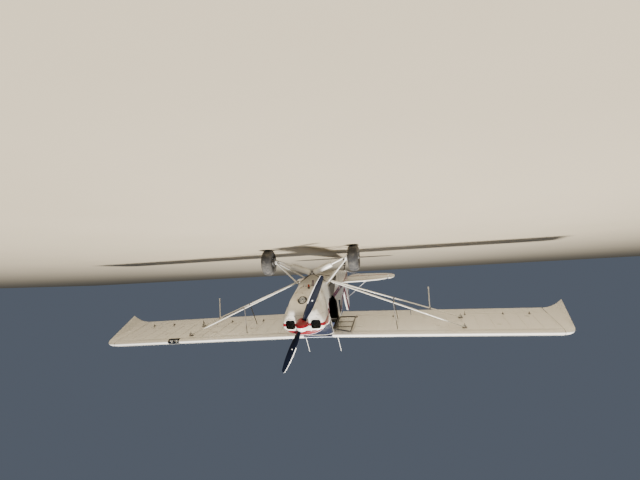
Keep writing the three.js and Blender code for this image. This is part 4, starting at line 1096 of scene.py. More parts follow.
def wing(side):
    """One wing's fixed part, its tapes, covers and fittings"""
    skin = sagged_panel(WING_ROOT_X, TIP_JOINT_X, WING_OUTLINE)
    # The hinge cove's faces are near-black as painted shade in the gap ahead of the flap and aileron
    cove, fabric = striped(skin, len(WING_OUTLINE), *COVE_SHADE_FACES)
    parts = [(on_side(fabric, side), WING_FABRIC), (on_side(cove, side), DARK_ENAMEL_AND_SHADE)]
    if side == "left":
        pocket = block((LAMP_SPAN[0], -0.05, 1.5), (LAMP_SPAN[1], LAMP_BACK_Y, 2.0))
        opened = lined(carved(skin, pocket), fabric, WING_FABRIC, DARK_ENAMEL_AND_SHADE)
        parts = [(on_side(shape, side), material) for shape, material in opened]
        wing_lamps(side)
    make(f"wing_skin_{side}", parts, replaces=[f"wing_{side}"], smooth=38)
    tapes = joined(rib_tapes(WING_ROOT_X + 0.02, TIP_JOINT_X - 0.02, TAPE_SHARES),
                   spar_tapes(WING_ROOT_X, TIP_JOINT_X))
    make(f"wing_tapes_{side}", [(on_side(tapes, side), TAPE_PAINT)])
    covers = joined(*[inspection_cover(x, y) for x, y in COVERS])
    rivets = []
    for place, up in ((wing_top, 1), (wing_low, -1)):
        for y in (METAL_NOSE - 0.004, METAL_NOSE + 0.028, REAR_SPAR_Y):
            rivets.append([(place(WING_ROOT_X + 0.02, y, 0.0016), (0, 0, up)),
                           (place(TIP_JOINT_X - 0.02, y, 0.0016), (0, 0, up))])
        for x in rib_places(WING_ROOT_X + 0.02, TIP_JOINT_X - 0.02):
            rivets.append([(place(x, share * CHORD, 0.0022), (0, 0, up)) for share in TAPE_SHARES[1:]])
    if side == "right":
        rivets = [[((-p.x, p.y, p.z), way) for p, way in line] for line in rivets]
    stud_rows(f"wing_stitches_{side}", rivets, TAPE_PAINT, 0.06, 0.0035, 0.0014)
    make(f"inspection_covers_{side}", [(on_side(covers, side), PLAIN_PAINT)])
    fittings = joined(*[lug_fitting(STRUT_WING_X, y) for y in (STRUT_FRONT_Y, STRUT_REAR_Y)],
                      *[control_bracket(x, AILERON_BRACKET_Y) for x in AILERON_BRACKETS_X],
                      control_bracket(AILERON_HORN_X, AILERON_BRACKET_Y, 0.085),
                      *[control_bracket(x, FLAP_BRACKET_Y) for x in FLAP_BRACKETS_X])
    make(f"wing_fittings_{side}", [(on_side(fittings, side), SPRING_STEEL_AND_SHADE)])
    cap_at = wing_top(*FUEL_CAP_AT)
    cap = joined(aimed(turned([(0, 0.012), (0.026, 0.012), (0.034, 0.009), (0.036, 0.002), (0.048, 0.0015),
                               (0.05, 0), (0, 0)], 32), cap_at, (0, 0, 1)),
                 block((0.716, 0.385, cap_at.z + 0.008), (0.724, 0.44, cap_at.z + 0.02), 0.003))
    make(f"fuel_cap_{side}", [(on_side(cap, side), BRIGHT_METAL)])
    vent = tube(curve_through([wing_top(0.72, 0.47, -0.004), wing_top(0.72, 0.465, 0.03),
                               wing_top(0.72, 0.44, 0.05), wing_top(0.72, 0.4, 0.046)]), 0.005, 10)
    make(f"fuel_vent_{side}", [(on_side(vent, side), BRIGHT_METAL)])


TIP_SECTIONS = [
    # leading edge and trailing edge outboard, then aft, chord, both drops and thickness
    (TIP_JOINT_X + 0.001, TIP_JOINT_X + 0.001, 0, 1, 0, 0, 1),
    (5.15, 5.19, 0.006, 0.99, 0.004, 0.025, 0.95),
    (5.215, 5.31, 0.028, 0.97, 0.014, 0.08, 0.75),
    (5.255, 5.40, 0.072, 0.935, 0.03, 0.15, 0.5),
    (5.275, SPAN_HALF, 0.13, 0.89, 0.05, 0.222, 0.12),
]


def wing_tip(side):
    """A drooped tip: a smooth skin through the sections, with a thin lip"""
    rows = []
    for i in range(len(TIP_SECTIONS) - 1):
        a, b, c, d = (TIP_SECTIONS[max(i - 1, 0)], TIP_SECTIONS[i], TIP_SECTIONS[i + 1],
                      TIP_SECTIONS[min(i + 2, len(TIP_SECTIONS) - 1)])
        for k in range(5):
            t = k / 5
            rows.append([0.5 * (2 * q + (r - p) * t + (2 * p - 5 * q + 4 * r - s) * t * t
                                + (3 * q - p - 3 * r + s) * t ** 3) for p, q, r, s in zip(a, b, c, d)])
    rows.append(TIP_SECTIONS[-1])
    rings = []
    for front_x, back_x, aft_by, chord, front_drop, back_drop, thick in rows:
        ring = []
        for aft, up in WHOLE_OUTLINE:
            share = aft / CHORD
            drop = front_drop + (back_drop - front_drop) * share
            ring.append(wing_point(front_x + (back_x - front_x) * share, aft_by + aft * chord,
                                   up * thick - drop))
        rings.append(ring)
    make(f"tip_shell_{side}", [(on_side(loft(rings), side), WING_FABRIC)],
         replaces=[f"wing_tip_{side}"], smooth=50)
    seam = [wing_point(TIP_JOINT_X + 0.0005, aft, up) for aft, up in grown(WHOLE_OUTLINE, 0.0004)]
    make(f"tip_seam_{side}", [(on_side(ribbon(seam, 0.008, 0.0012, (1, 0, 0), round_trip=True), side),
                               SEAL_RUBBER)])
    screws = []
    for share in [0.04 + 0.07 * k for k in range(11)]:
        for face in (1, -1):
            aft, up = section_point(share, face)
            screws.append(screw(wing_point(TIP_JOINT_X + 0.014, aft, up), (0, 0, face)))
    make(f"tip_screws_{side}", [(on_side(joined(*screws), side), BRIGHT_METAL)])


def flap_or_aileron(name, side, start, end, body):
    """A hinged surface with ribs under its fabric, tapes over them and a strip along its rear edge"""
    skin = sagged_panel(start, end, FLAP_OUTLINE, 0.21, 0.0016, 4)
    # The nose faces, sitting in the cove, are near-black as painted shade of the hinge gap
    nose, fabric = striped(skin, len(FLAP_OUTLINE), *NOSE_SHADE_FACES)
    make(f"{name}_skin_{side}", [(on_side(fabric, side), WING_FABRIC), (on_side(nose, side), DARK_ENAMEL_AND_SHADE)],
         body=body, replaces=[f"{name}_{side}"], smooth=38)
    shares = [0.84, 0.88, 0.92, 0.96, 0.99]
    tapes = rib_tapes(start + 0.02, end - 0.02, shares, 0.21)
    edge = ribbon([wing_point(start + (end - start) * k / 4, CHORD - 0.001, 0.0015) for k in range(5)],
                  0.03, 0.011, (0, 1, 0))
    make(f"{name}_tapes_{side}", [(on_side(joined(tapes, edge), side), TAPE_PAINT)], body=body)


ROOF_BROW_Y = 0.2


def front_of(shape, y):
    """A shape's faces ahead of a place along the aircraft, and all the others"""
    points, faces = shape
    ahead, others = [], []
    for face in faces:
        middle = sum(points[i].y for i in face) / len(face)
        (ahead if middle < y else others).append(face)
    return (points, ahead), (points, others)


def roof():
    """The skin between the wings, round the skylight, with its screws"""
    half = WING_ROOT_X - 0.003

    def root_section(outline):
        return [(p.y, p.z) for p in (wing_point(WING_ROOT_X, aft, up) for aft, up in outline)]

    def skylight_prism(gap):
        x, front, back = 0.255 - gap, 0.33 + gap, 1.01 - gap
        corners = [(-x, front, 0.04), (x, front, 0.04), (x, back, 0.04), (-x, back, 0.04)]
        return slab(rounded(corners), 0.4, "z", 1.85)
    outline = root_section(WHOLE_OUTLINE)
    inner_outline = grown(root_section(WING_OUTLINE), -0.012)
    body = slab(outline, 2 * half, "x")
    floor = block((-half, 0.021, 1.641), (half, 1.598, 1.655))
    whole = carved(body, floor, operation="UNION")
    skin = carved(whole, block((-0.4, -0.3, 1.4), (0.4, 0.021, 1.9)),
                  slab(inner_outline, 2 * (half - 0.012), "x"), skylight_prism(0),
                  block((-half + 0.012, 0.016, 1.5), (half - 0.012, 1.04, 1.672)))
    # The brow's slate colour is partly tint and partly a painted reflection of the sky
    brow, white = front_of(skin, ROOF_BROW_Y)
    make("roof_skin", [(white, PLAIN_PAINT), (brow, BROW_TINT_AND_REFLECTION)], replaces=["roof"])
    out_skin = slab(grown(outline, -0.003), 0.7, "x")
    in_skin = slab(grown(outline, -0.007), 0.72, "x")
    pane = carved(carved(skylight_prism(0.0004), out_skin, operation="INTERSECT"), in_skin,
                  block((-0.4, 0, 1.5), (0.4, 1.6, 1.72)))
    make("skylight_pane", [(pane, ACRYLIC_TINT_AND_REFLECTION)], replaces=["skylight"])
    screws = []
    for x in (-0.272, 0.272):
        for k in range(8):
            on_roof = wing_top(WING_ROOT_X, 0.34 + 0.095 * k)
            screws.append(screw((x, on_roof.y, on_roof.z), (0, 0, 1)))
    make("skylight_screws", [(joined(*screws), BRIGHT_METAL)])


for side in SIDES:
    wing(side)
    wing_tip(side)
    flap_or_aileron("flap", side, WING_ROOT_X + 0.026, FLAP_OUT_X, f"flap_{side}")
    flap_or_aileron("aileron", side, FLAP_OUT_X + 0.015, TIP_JOINT_X - 0.012, f"aileron_{side}")
roof()


# Fuselage, windows and doors

# The fuselage's stations: y, half width low down, half width at the shoulder, bottom, shoulder, crown
NOSE_STATIONS = [
    (-0.35, 0.250, 0.352, 0.458, 1.180, 1.356),
    (-0.16, 0.288, 0.354, 0.468, 1.380, 1.545),
    (0.02, 0.304, 0.355, 0.478, 1.612, 1.694),
]
BODY_STATIONS = [
    (0.019, 0.304, 0.355, 0.478, 1.612, 1.640),
    (0.90, 0.300, 0.355, 0.496, 1.612, 1.640),
    (1.604, 0.267, 0.328, 0.560, 1.604, 1.638),
    (1.606, 0.267, 0.328, 0.560, 1.592, 1.655),
    (2.6, 0.195, 0.235, 0.770, 1.556, 1.622),
    (3.8, 0.104, 0.126, 1.040, 1.534, 1.580),
    (4.95, 0.022, 0.026, 1.300, 1.500, 1.535),
]
ARCH_POWER = 0.62
ARCH_STEPS = 12


def hull_ring(station, inset=0.0, steps=ARCH_STEPS):
    """A fuselage section, with its low corners rounded and its top closed by a flattened arch"""
    y, half_low, half_high, bottom, shoulder, crown = station
    low, high, bottom = half_low - inset, half_high - inset, bottom + inset
    corner = min(0.045, low * 0.6)
    right = []
    for k in range(5):
        angle = pi / 2 * k / 4
        right.append((low - corner + corner * sin(angle), bottom + corner - corner * cos(angle)))
    for i in range(steps):
        angle = i / steps * pi / 2
        right.append((high * cos(angle) ** ARCH_POWER,
                      shoulder + (crown - inset - shoulder) * sin(angle) ** ARCH_POWER))
    left = [(-x, z) for x, z in reversed(right)]
    return [Vector((x, y, z)) for x, z in right + [(0, crown - inset)] + left]


def station_at(stations, y):
    for before, after in zip(stations, stations[1:]):
        if y <= after[0]:
            share = (y - before[0]) / (after[0] - before[0])
            return tuple(a + (b - a) * share for a, b in zip(before, after))
    return stations[-1]


def hull(stations, inset=0.0, steps=4):
    rings = [hull_ring(stations[0], inset)]
    for before, after in zip(stations, stations[1:]):
        for k in range(1, steps + 1):
            rings.append(hull_ring([a + (b - a) * k / steps for a, b in zip(before, after)], inset))
    return flat_faced(loft(rings))


def with_ends(stations, first, last):
    return [(first, *stations[0][1:])] + list(stations[1:-1]) + [(last, *stations[-1][1:])]


def whole_hull(inset=0.0):
    return carved(hull(NOSE_STATIONS, inset), hull(BODY_STATIONS, inset), operation="UNION")


def hull_side(y, z, side="right", out=0.0):
    """A point on the fuselage's side"""
    _, half_low, half_high, bottom, shoulder, _ = station_at(NOSE_STATIONS if y < 0.02 else BODY_STATIONS, y)
    share = (z - bottom - 0.045) / (shoulder - bottom - 0.045)
    half = half_low + (half_high - half_low) * min(1.0, max(0.0, share))
    return Vector((SIDES[side] * (half + out), y, z))


DOOR_OPENING = [(0.052, 1.592), (0.938, 1.592, 0.03), (0.938, 1.19), (0.76, 1.06, 0.06), (0.47, 0.872, 0.06),
                (0, 0.872, 0.05), (-0.1, 1.1), (-0.142, 1.19)]
WINDSCREEN = [(-0.42, 1.34), (-0.33, 1.34), (-0.218, 1.226), (-0.182, 1.226), (0.008, 1.612), (0.008, 1.78),
              (-0.42, 1.78)]
LEFT_WINDOW = [(-0.124, 1.215, 0.03), (0.938, 1.215, 0.04), (0.938, 1.574, 0.03), (0.066, 1.574, 0.03)]
REAR_WINDOW = [(1.19, 1.225, 0.04), (1.53, 1.31, 0.06), (1.47, 1.574, 0.05), (1.19, 1.574, 0.03)]
CABIN_BACK = (1.6, 0.267, 0.328, 0.56, 1.592, 1.63)
UPPER_LEAF = [(0.058, 1.586), (0.932, 1.586, 0.026), (0.932, 1.194), (-0.134, 1.194)]
LOWER_LEAF = [(0.928, 1.186, 0.03), (0.757, 1.068, 0.06), (0.467, 0.879, 0.06), (0.007, 0.879, 0.04),
              (-0.091, 1.1), (-0.131, 1.186)]
UPPER_HINGE = Vector((-0.363, 0, 1.592))
LOWER_HINGE = Vector((-0.331, 0, 0.869))
UPPER_OPEN = radians(94)
LOWER_OPEN = radians(-175)
LEAF_RAIL = 0.024
LEAF_BARS_Y = (0.21, 0.55)


def side_prism(outline, side, by=0.0):
    return slab(rounded(grown(outline, by)), 0.26, "x", SIDES[side] * 0.33)


def across_prism(outline, by=0.0):
    return slab(rounded(grown(outline, by)), 0.9, "x")


def parked(shape, hinge, angle):
    """A closed door leaf, turned about its hinge line to where it is parked"""
    return moved(shape, Matrix.Translation(hinge) @ Matrix.Rotation(angle, 4, "Y")
                 @ Matrix.Translation(-hinge))


REAR_START_Y = 1.62


def stringer_path(share, side):
    """A line along the rear fuselage, at a share of the height between corner and shoulder"""
    path = []
    for y in [REAR_START_Y + 0.18 * k for k in range(19)]:
        _, _, _, bottom, shoulder, _ = station_at(BODY_STATIONS, y)
        low = bottom + 0.06
        path.append(hull_side(y, low + (shoulder - 0.03 - low) * share, side, 0.0004))
    return path


def fuselage():
    """The fabric-covered hull, hollow at the cabin, with openings for windows and doors"""
    cabin_cut = hull(with_ends([BODY_STATIONS[0], BODY_STATIONS[1], CABIN_BACK], 0.0185, CABIN_BACK[0]), WALL)
    shell = carved(
        whole_hull(), side_prism(DOOR_OPENING, "right"), side_prism(LEFT_WINDOW, "left"),
        side_prism(REAR_WINDOW, "left"), side_prism(REAR_WINDOW, "right"), across_prism(WINDSCREEN),
        hull(with_ends(NOSE_STATIONS, -0.33, 0.04), WALL), cabin_cut,
        block((-0.296, 0.06, 1.5), (0.296, 1.04, 1.7)), block((-0.33, 0.015, 1.54), (0.33, 0.08, 1.6)))
    # The hull's inner faces take the near-black lining, partly as painted shade inside the cabin
    make("fuselage_skin", lined(shell, whole_hull(), FABRIC, LINING_AND_SHADE),
         replaces=["fuselage"], smooth=32, merge=2e-5)
    strips = []
    for side in SIDES:
        for share in (0.12, 0.32, 0.52, 0.72, 0.9):
            strips.append(ribbon(stringer_path(share, side), 0.012, 0.004, (0, 0, 1)))
    make("stringers", [(joined(*strips), FABRIC)], smooth=60)
    seams = []
    for y in (1.64, 2.45, 3.25, 4.05, 4.6):
        ring = [p + Vector((p.x, 0, p.z - 1.2)).normalized() * 0.0006
                for p in hull_ring(station_at(BODY_STATIONS, y), 0.0)]
        seams.append(ribbon(ring + ring[:1], 0.045, TAPE_THICKNESS, (0, 1, 0)))
    make("fuselage_tapes", [(joined(*seams), FABRIC)], smooth=50)


def pane_layer(prism, outside=0.005, inside=0.009):
    return carved(carved(whole_hull(outside), prism, operation="INTERSECT"), whole_hull(inside))


def window_frame(name, outline, side):
    """A thin raised strip round a side window, with its screws, and a rubber bead inside it"""
    bead = [hull_side(p.x, p.y, side, -0.001) for p in rounded(grown(outline, -0.002))]
    screws = []
    edge = [hull_side(p.x, p.y, side, 0.0026) for p in rounded(grown(outline, 0.011))]
    for a, b in zip(edge, edge[1:] + edge[:1]):
        count = int((b - a).length / 0.09)
        for k in range(count):
            screws.append(small_screw(a.lerp(b, (k + 0.5) / count), (SIDES[side], 0, 0)))
    strip = loft([[p + Vector((SIDES[side] * off, 0, 0)) for p in
                   (hull_side(q.x, q.y, side) for q in rounded(grown(outline, out)))]
                  for out, off in ((0.0, -0.002), (0.0, 0.0025), (0.004, 0.0032), (0.02, 0.0032),
                                   (0.023, 0.001), (0.023, -0.002))], ends=False)
    make(f"{name}_frame", [(strip, PLAIN_PAINT), (tube(bead, 0.003, 6, round_trip=True), SEAL_RUBBER)])
    make(f"{name}_screws", [(joined(*screws), BRIGHT_METAL)])


def windows():
    make("windscreen_pane", [(pane_layer(across_prism(WINDSCREEN, -0.0004)), ACRYLIC_TINT_AND_REFLECTION)],
         replaces=["windscreen"], smooth=40)
    for name, outline, side in (("window_left", LEFT_WINDOW, "left"),
                                ("rear_window_left", REAR_WINDOW, "left"),
                                ("rear_window_right", REAR_WINDOW, "right")):
        make(f"{name}_pane", [(pane_layer(side_prism(outline, side, -0.0004)), ACRYLIC_TINT_AND_REFLECTION)],
             replaces=[name])
        window_frame(name, outline, side)


def windscreen_strips():
    """The retainer strips along the screen's lower edge and its sides, with their screws"""
    strips, screws = [], []
    lip = []
    # Round the nose where the screen meets the cowl's back edge
    for p in hull_ring(station_at(NOSE_STATIONS, -0.322), -0.0008, 14)[5:-5]:
        if p.z > 1.2:
            lip.append(p)
    strips.append(ribbon(lip, 0.026, 0.002, (0, 1, 0)))
    # Down each side, along the door post's front edge
    for side in SIDES:
        low_line = [(-0.326, 1.338), (-0.222, 1.228), (-0.182, 1.218)]
        edge = [hull_side(y, z, side, 0.0016) for y, z in low_line]
        strips.append(ribbon(edge, 0.014, 0.002, (0, 1, 0.4)))
        post = [hull_side(-0.182 + 0.19 * k / 6, 1.226 + 0.386 * k / 6, side, 0.0016) for k in range(7)]
        strips.append(ribbon(post, 0.012, 0.002, (0, 1, -0.4)))
        for path in (edge, post):
            for a, b in zip(path, path[1:]):
                screws.append(small_screw(a.lerp(b, 0.5) + Vector((SIDES[side] * 0.0008, 0, 0)),
                                          (SIDES[side], 0, 0)))
    for p, q in list(zip(lip, lip[1:]))[1:-1]:
        screws.append(small_screw(p.lerp(q, 0.5) + Vector((0, -0.002, 0.0008)), (p.x, -0.2, p.z - 1.0)))
    make("screen_strips", [(joined(*strips), COWL_PAINT)], smooth=50)
    make("screen_screws", [(joined(*screws), BRIGHT_METAL)])


def hinge_pin(hinge, start_y, end_y):
    return rod((hinge.x, start_y, hinge.z), (hinge.x, end_y, hinge.z), 0.0035, 10)


def doors():
    """The two open leaves, with their hinges, latch, handle and seals"""
    skin = carved(whole_hull(), whole_hull(WALL))
    glazing = grown(UPPER_LEAF, -LEAF_RAIL)
    leaf = carved(skin, side_prism(UPPER_LEAF, "right"), operation="INTERSECT")
    frame_part = carved(leaf, side_prism(glazing, "right"))
    bars = []
    for y in LEAF_BARS_Y:
        low, high = hull_side(y, 1.225, "right", -0.013), hull_side(y, 1.556, "right", -0.013)
        bars.append(ribbon([low, high], 0.013, 0.009, (0, 1, 0)))
    seal = [hull_side(p.x, p.y, "right", -WALL - 0.0015) for p in rounded(grown(UPPER_LEAF, -0.012))]
    upper = joined(frame_part, *bars)
    make("door_upper_leaf", [(parked(upper, UPPER_HINGE, UPPER_OPEN), DARK_ENAMEL_AND_SHADE)], body="door_upper",
         replaces=["door_upper_frame"], smooth=32)
    make("door_upper_seal", [(parked(tube(seal, 0.004, 6, True), UPPER_HINGE, UPPER_OPEN), SEAL_RUBBER)],
         body="door_upper")
    pane = carved(carved(whole_hull(0.003), side_prism(grown(glazing, -0.0004), "right"),
                         operation="INTERSECT"),
                  whole_hull(0.007))
    make("door_upper_pane", [(parked(pane, UPPER_HINGE, UPPER_OPEN), CLEAR_ACRYLIC)], body="door_upper",
         replaces=["door_upper_glass"])
    lower = carved(skin, side_prism(LOWER_LEAF, "right"), operation="INTERSECT")
    # The leaf's inner faces take the near-black lining, partly as painted shade
    make("door_lower_leaf", [(parked(part, LOWER_HINGE, LOWER_OPEN), kind)
                             for part, kind in lined(lower, whole_hull(), FABRIC, LINING_AND_SHADE)],
         body="door_lower", replaces=["door_lower"], smooth=32)
    # The inner panel is in the same near-black lining, partly painted shade
    inner_panel = [hull_side(p.x, p.y, "right", -WALL - 0.002) for p in rounded(grown(LOWER_LEAF, -0.03))]
    lining = loft([[p + Vector((0.0018 * k, 0, 0)) for p in inner_panel] for k in (0, 1)])
    make("door_lower_lining", [(parked(lining, LOWER_HINGE, LOWER_OPEN), LINING_AND_SHADE)], body="door_lower")
    seal = [hull_side(p.x, p.y, "right", -WALL - 0.001) for p in rounded(grown(LOWER_LEAF, -0.012))]
    make("door_lower_seal", [(parked(tube(seal, 0.004, 6, True), LOWER_HINGE, LOWER_OPEN), SEAL_RUBBER)],
         body="door_lower")
    inside = hull_side(0.42, 1.12, "right", -WALL - 0.004)
    latch = joined(aimed(turned([(0, 0), (0.02, 0), (0.02, 0.005), (0, 0.007)], 20), inside, (1, 0, 0)),
                   tube(curve_through([inside + Vector((0.004, 0, 0)),
                                       inside + Vector((0.018, 0.004, -0.004)), inside
                                       + Vector((0.02, 0.05, -0.01)),
                                       inside + Vector((0.018, 0.09, -0.012))]),
                        0.005, 8))
    outside = hull_side(0.42, 1.12, "right", 0.001)
    grip = joined(aimed(turned([(0, 0), (0.021, 0), (0.021, 0.003), (0, 0.005)], 20), outside, (-1, 0, 0)),
                  slab([(0.405, 1.112), (0.52, 1.114), (0.52, 1.124), (0.405, 1.128)], 0.006, "x",
                       outside.x - 0.008, 0.002))
    make("door_latch", [(parked(joined(latch, grip), LOWER_HINGE, LOWER_OPEN), BRIGHT_METAL)],
         body="door_lower")
    fixed, low_leaf, high_leaf = [], [], []
    for hinge, leaf_pins, places, low, high in (
            (UPPER_HINGE, high_leaf, (0.16, 0.80), (-0.362, 1.592), (-0.353, 1.606)),
            (LOWER_HINGE, low_leaf, (0.08, 0.38), (-0.331, 0.855), (-0.325, 0.869))):
        for y in places:
            leaf_pins.append(hinge_pin(hinge, y - 0.022, y + 0.022))
            fixed.append(hinge_pin(hinge, y + 0.024, y + 0.05))
            fixed.append(block((low[0], y + 0.024, low[1]), (high[0], y + 0.05, high[1]), 0.001))
    make("door_hinges_fixed", [(joined(*fixed), BRIGHT_METAL)])
    make("door_hinges_upper", [(joined(*high_leaf), BRIGHT_METAL)], body="door_upper")
    make("door_hinges_lower", [(joined(*low_leaf), BRIGHT_METAL)], body="door_lower")


TAG_AT = Vector((-0.03, -0.55, 0.486))


def belly_fittings():
    """What hangs under the fuselage: a warning tag on its clip, and the drain plugs"""
    hung = Matrix.Translation(TAG_AT)
    clip = moved(block((-0.022, -0.004, -0.032), (0.022, 0.004, 0.006), 0.002), hung)
    tag = moved(block((-0.020, -0.003, -0.084), (0.020, 0.003, -0.032), 0.002), hung)
    make("belly_tag", [(tag, TAG_RED), (clip, DARK_ENAMEL_AND_SHADE)])
    drains = joined(*[rod((x, y, station_at(BODY_STATIONS, y)[3] + 0.002),
                          (x, y, station_at(BODY_STATIONS, y)[3] - 0.022), 0.007, 10, 0.004)
                      for x, y in ((0.12, 0.12), (-0.1, 0.62), (0.05, 1.3))])
    make("drain_plugs", [(drains, BRIGHT_METAL)])


fuselage()
windows()
windscreen_strips()
doors()
belly_fittings()


# Struts

STRUT_FOOT = Vector((0.388, 0.12, 0.5))
FRONT_FOOT = STRUT_FOOT - Vector((0, 0.033, 0))
REAR_FOOT = STRUT_FOOT + Vector((0, 0.033, 0))
FRONT_TOP = wing_low(STRUT_WING_X, STRUT_FRONT_Y) - Vector((0, 0, 0.022))
REAR_TOP = wing_low(STRUT_WING_X, STRUT_REAR_Y) - Vector((0, 0, 0.022))
ROD_X = {"left": 2.61, "right": 2.47}
JURY_LOW_X = 1.69
JURY_TOP_X = 1.735
JURY_SECTION = (0.03, 0.014)
FRONT_STRUT_SECTION = (0.062, 0.03)
REAR_STRUT_SECTION = (0.0496, 0.0255)
PLUMB = TO_AIRFRAME.to_3x3() @ Vector((0, 0, -1))


def stream_tube(start, end, length, thickness, sides=28, tip=0.0):
    """A streamlined tube between two points, its long way kept along the line of flight"""
    start, end = Vector(start), Vector(end)
    axis = (end - start).normalized()
    aft = (Vector((0, 1, 0)) - axis * axis.y).normalized()
    across = axis.cross(aft)
    reach = (end - start).length
    cuts = [(0, 1.0), (1, 1.0)]
    if tip > 0:
        cuts = [(0, 0.55), (tip / reach, 1.0), (1 - tip / reach, 1.0), (1, 0.55)]
    rings = []
    for share, scale in cuts:
        centre = start.lerp(end, share)
        ring = []
        for k in range(sides):
            angle = 2 * pi * k / sides
            ring.append(centre + aft * cos(angle) * length / 2 * scale + across * sin(angle) * thickness / 2)
        rings.append(ring)
    return loft(rings)


def spot_at(start, end, x):
    return start.lerp(end, (x - start.x) / (end.x - start.x))


def collar(at, axis, length, thickness, width=0.03):
    """A clamp round a streamlined tube"""
    axis = Vector(axis).normalized()
    return stream_tube(at - axis * width / 2, at + axis * width / 2, length + 0.007, thickness + 0.007, 24)


def strut_lug(x, y):
    low = wing_low(x, y).z
    return block((x - 0.02, y - 0.008, low - 0.072), (x + 0.02, y + 0.008, low - 0.012), 0.003)


def struts(side):
    front_axis, rear_axis = FRONT_TOP - FRONT_FOOT, REAR_TOP - REAR_FOOT
    fork_front = [rod(FRONT_FOOT + Vector((0, s * 0.012, 0)), FRONT_FOOT - front_axis.normalized() * 0.05
                      + Vector((0, s * 0.012, 0)), 0.009, 12) for s in (1, -1)]
    make(f"strut_front_{side}", [
        (on_side(joined(stream_tube(FRONT_FOOT, FRONT_TOP, *FRONT_STRUT_SECTION, 32, 0.09),
                        strut_lug(STRUT_WING_X, STRUT_FRONT_Y)), side), PLAIN_PAINT)],
        replaces=[f"lift_strut_front_{side}"], smooth=40)
    rod_top = spot_at(REAR_FOOT, REAR_TOP, ROD_X[side])
    hanging = joined(rod(rod_top, rod_top + PLUMB * 0.45, 0.012, 14),
                     rod(rod_top + PLUMB * 0.435, rod_top + PLUMB * 0.48, 0.016, 16, lip=0.002),
                     rod(rod_top + PLUMB * 0.02, rod_top + PLUMB * 0.05, 0.0145, 16, lip=0.002))
    make(f"strut_rear_{side}", [
        (on_side(joined(stream_tube(REAR_FOOT, REAR_TOP, *REAR_STRUT_SECTION, 28, 0.08),
                        strut_lug(STRUT_WING_X, STRUT_REAR_Y), hanging), side), PLAIN_PAINT)],
        replaces=[f"lift_strut_rear_{side}"], smooth=40)
    fittings = joined(
        *fork_front,
        block((0.34, 0.075, 0.476), (0.375, 0.165, 0.5), 0.004),
        rod(FRONT_FOOT + Vector((-0.012, -0.045, -0.006)), REAR_FOOT + Vector((-0.012, 0.04, -0.006)),
            0.007, 12, lip=0.001),
        collar(spot_at(REAR_FOOT, REAR_TOP, ROD_X[side]), rear_axis, *REAR_STRUT_SECTION),
        collar(spot_at(FRONT_FOOT, FRONT_TOP, JURY_LOW_X), front_axis, *FRONT_STRUT_SECTION),
        collar(spot_at(REAR_FOOT, REAR_TOP, JURY_LOW_X), rear_axis, *REAR_STRUT_SECTION),
        *[bolt(FRONT_TOP + Vector((0, k * 0.01, -0.02)), (0, k, 0), 0.007, 0.006) for k in (1, -1)],
        *[bolt(REAR_TOP + Vector((0, k * 0.01, -0.02)), (0, k, 0), 0.007, 0.006) for k in (1, -1)])
    make(f"strut_fittings_{side}", [(on_side(fittings, side), SPRING_STEEL_AND_SHADE)])
    low_front = spot_at(FRONT_FOOT, FRONT_TOP, JURY_LOW_X) + Vector((0, 0, 0.025))
    low_rear = spot_at(REAR_FOOT, REAR_TOP, JURY_LOW_X) + Vector((0, 0, 0.025))
    top_front = wing_low(JURY_TOP_X, STRUT_FRONT_Y) - Vector((0, 0, 0.012))
    top_rear = wing_low(JURY_TOP_X, STRUT_REAR_Y) - Vector((0, 0, 0.012))
    rise = Vector((0, 0, 0.01))
    jury = joined(stream_tube(low_front, top_front, *JURY_SECTION, 20),
                  stream_tube(low_rear, top_rear, *JURY_SECTION, 20),
                  rod(low_front + rise, low_rear + rise, 0.007, 12))
    # The jury struts take the dark steel as painted shade of the wing above them
    make(f"jury_{side}", [(on_side(jury, side), SPRING_STEEL_AND_SHADE)],
         replaces=[f"jury_struts_{side}"], smooth=40)
    ends = joined(*[block(p + Vector((-0.012, -0.02, -0.004)), p + Vector((0.012, 0.02, 0.014)), 0.003)
                    for p in (top_front, top_rear)],
                  *[bolt(p + Vector((0, 0, 0.012)), (0, 1, 0), 0.005, 0.01) for p in (low_front, low_rear)])
    make(f"jury_fittings_{side}", [(on_side(ends, side), BRIGHT_METAL)])


# Landing gear

LEG_FRONT_TOP = Vector((0.338, 0, 0.498))
LEG_REAR_TOP = Vector((0.330, 0.64, 0.506))
LEG_FOOT = Vector((0.772, 0.008, 0.014))
REAR_LEG_FOOT = Vector((0.772, 0.04, 0.016))
FRONT_LEG_SECTION = (0.056, 0.034)
REAR_LEG_SECTION = (0.046, 0.028)
CABANE = Vector((0, 0.04, 0.296))
CABANE_LUG_X = 0.286
CABANE_LUGS = ((0.01, 0.474), (0.56, 0.486))
SHOCK_IN = Vector((0.052, 0.04, 0.270))
SHOCK_OUT = Vector((0.44, 0.045, 0.112))
SHOCK_END = Vector((0.738, 0.05, -0.008))
SHOCK_AXIS = (SHOCK_OUT - SHOCK_IN).normalized()
SHOCK_RADIUS = 0.063


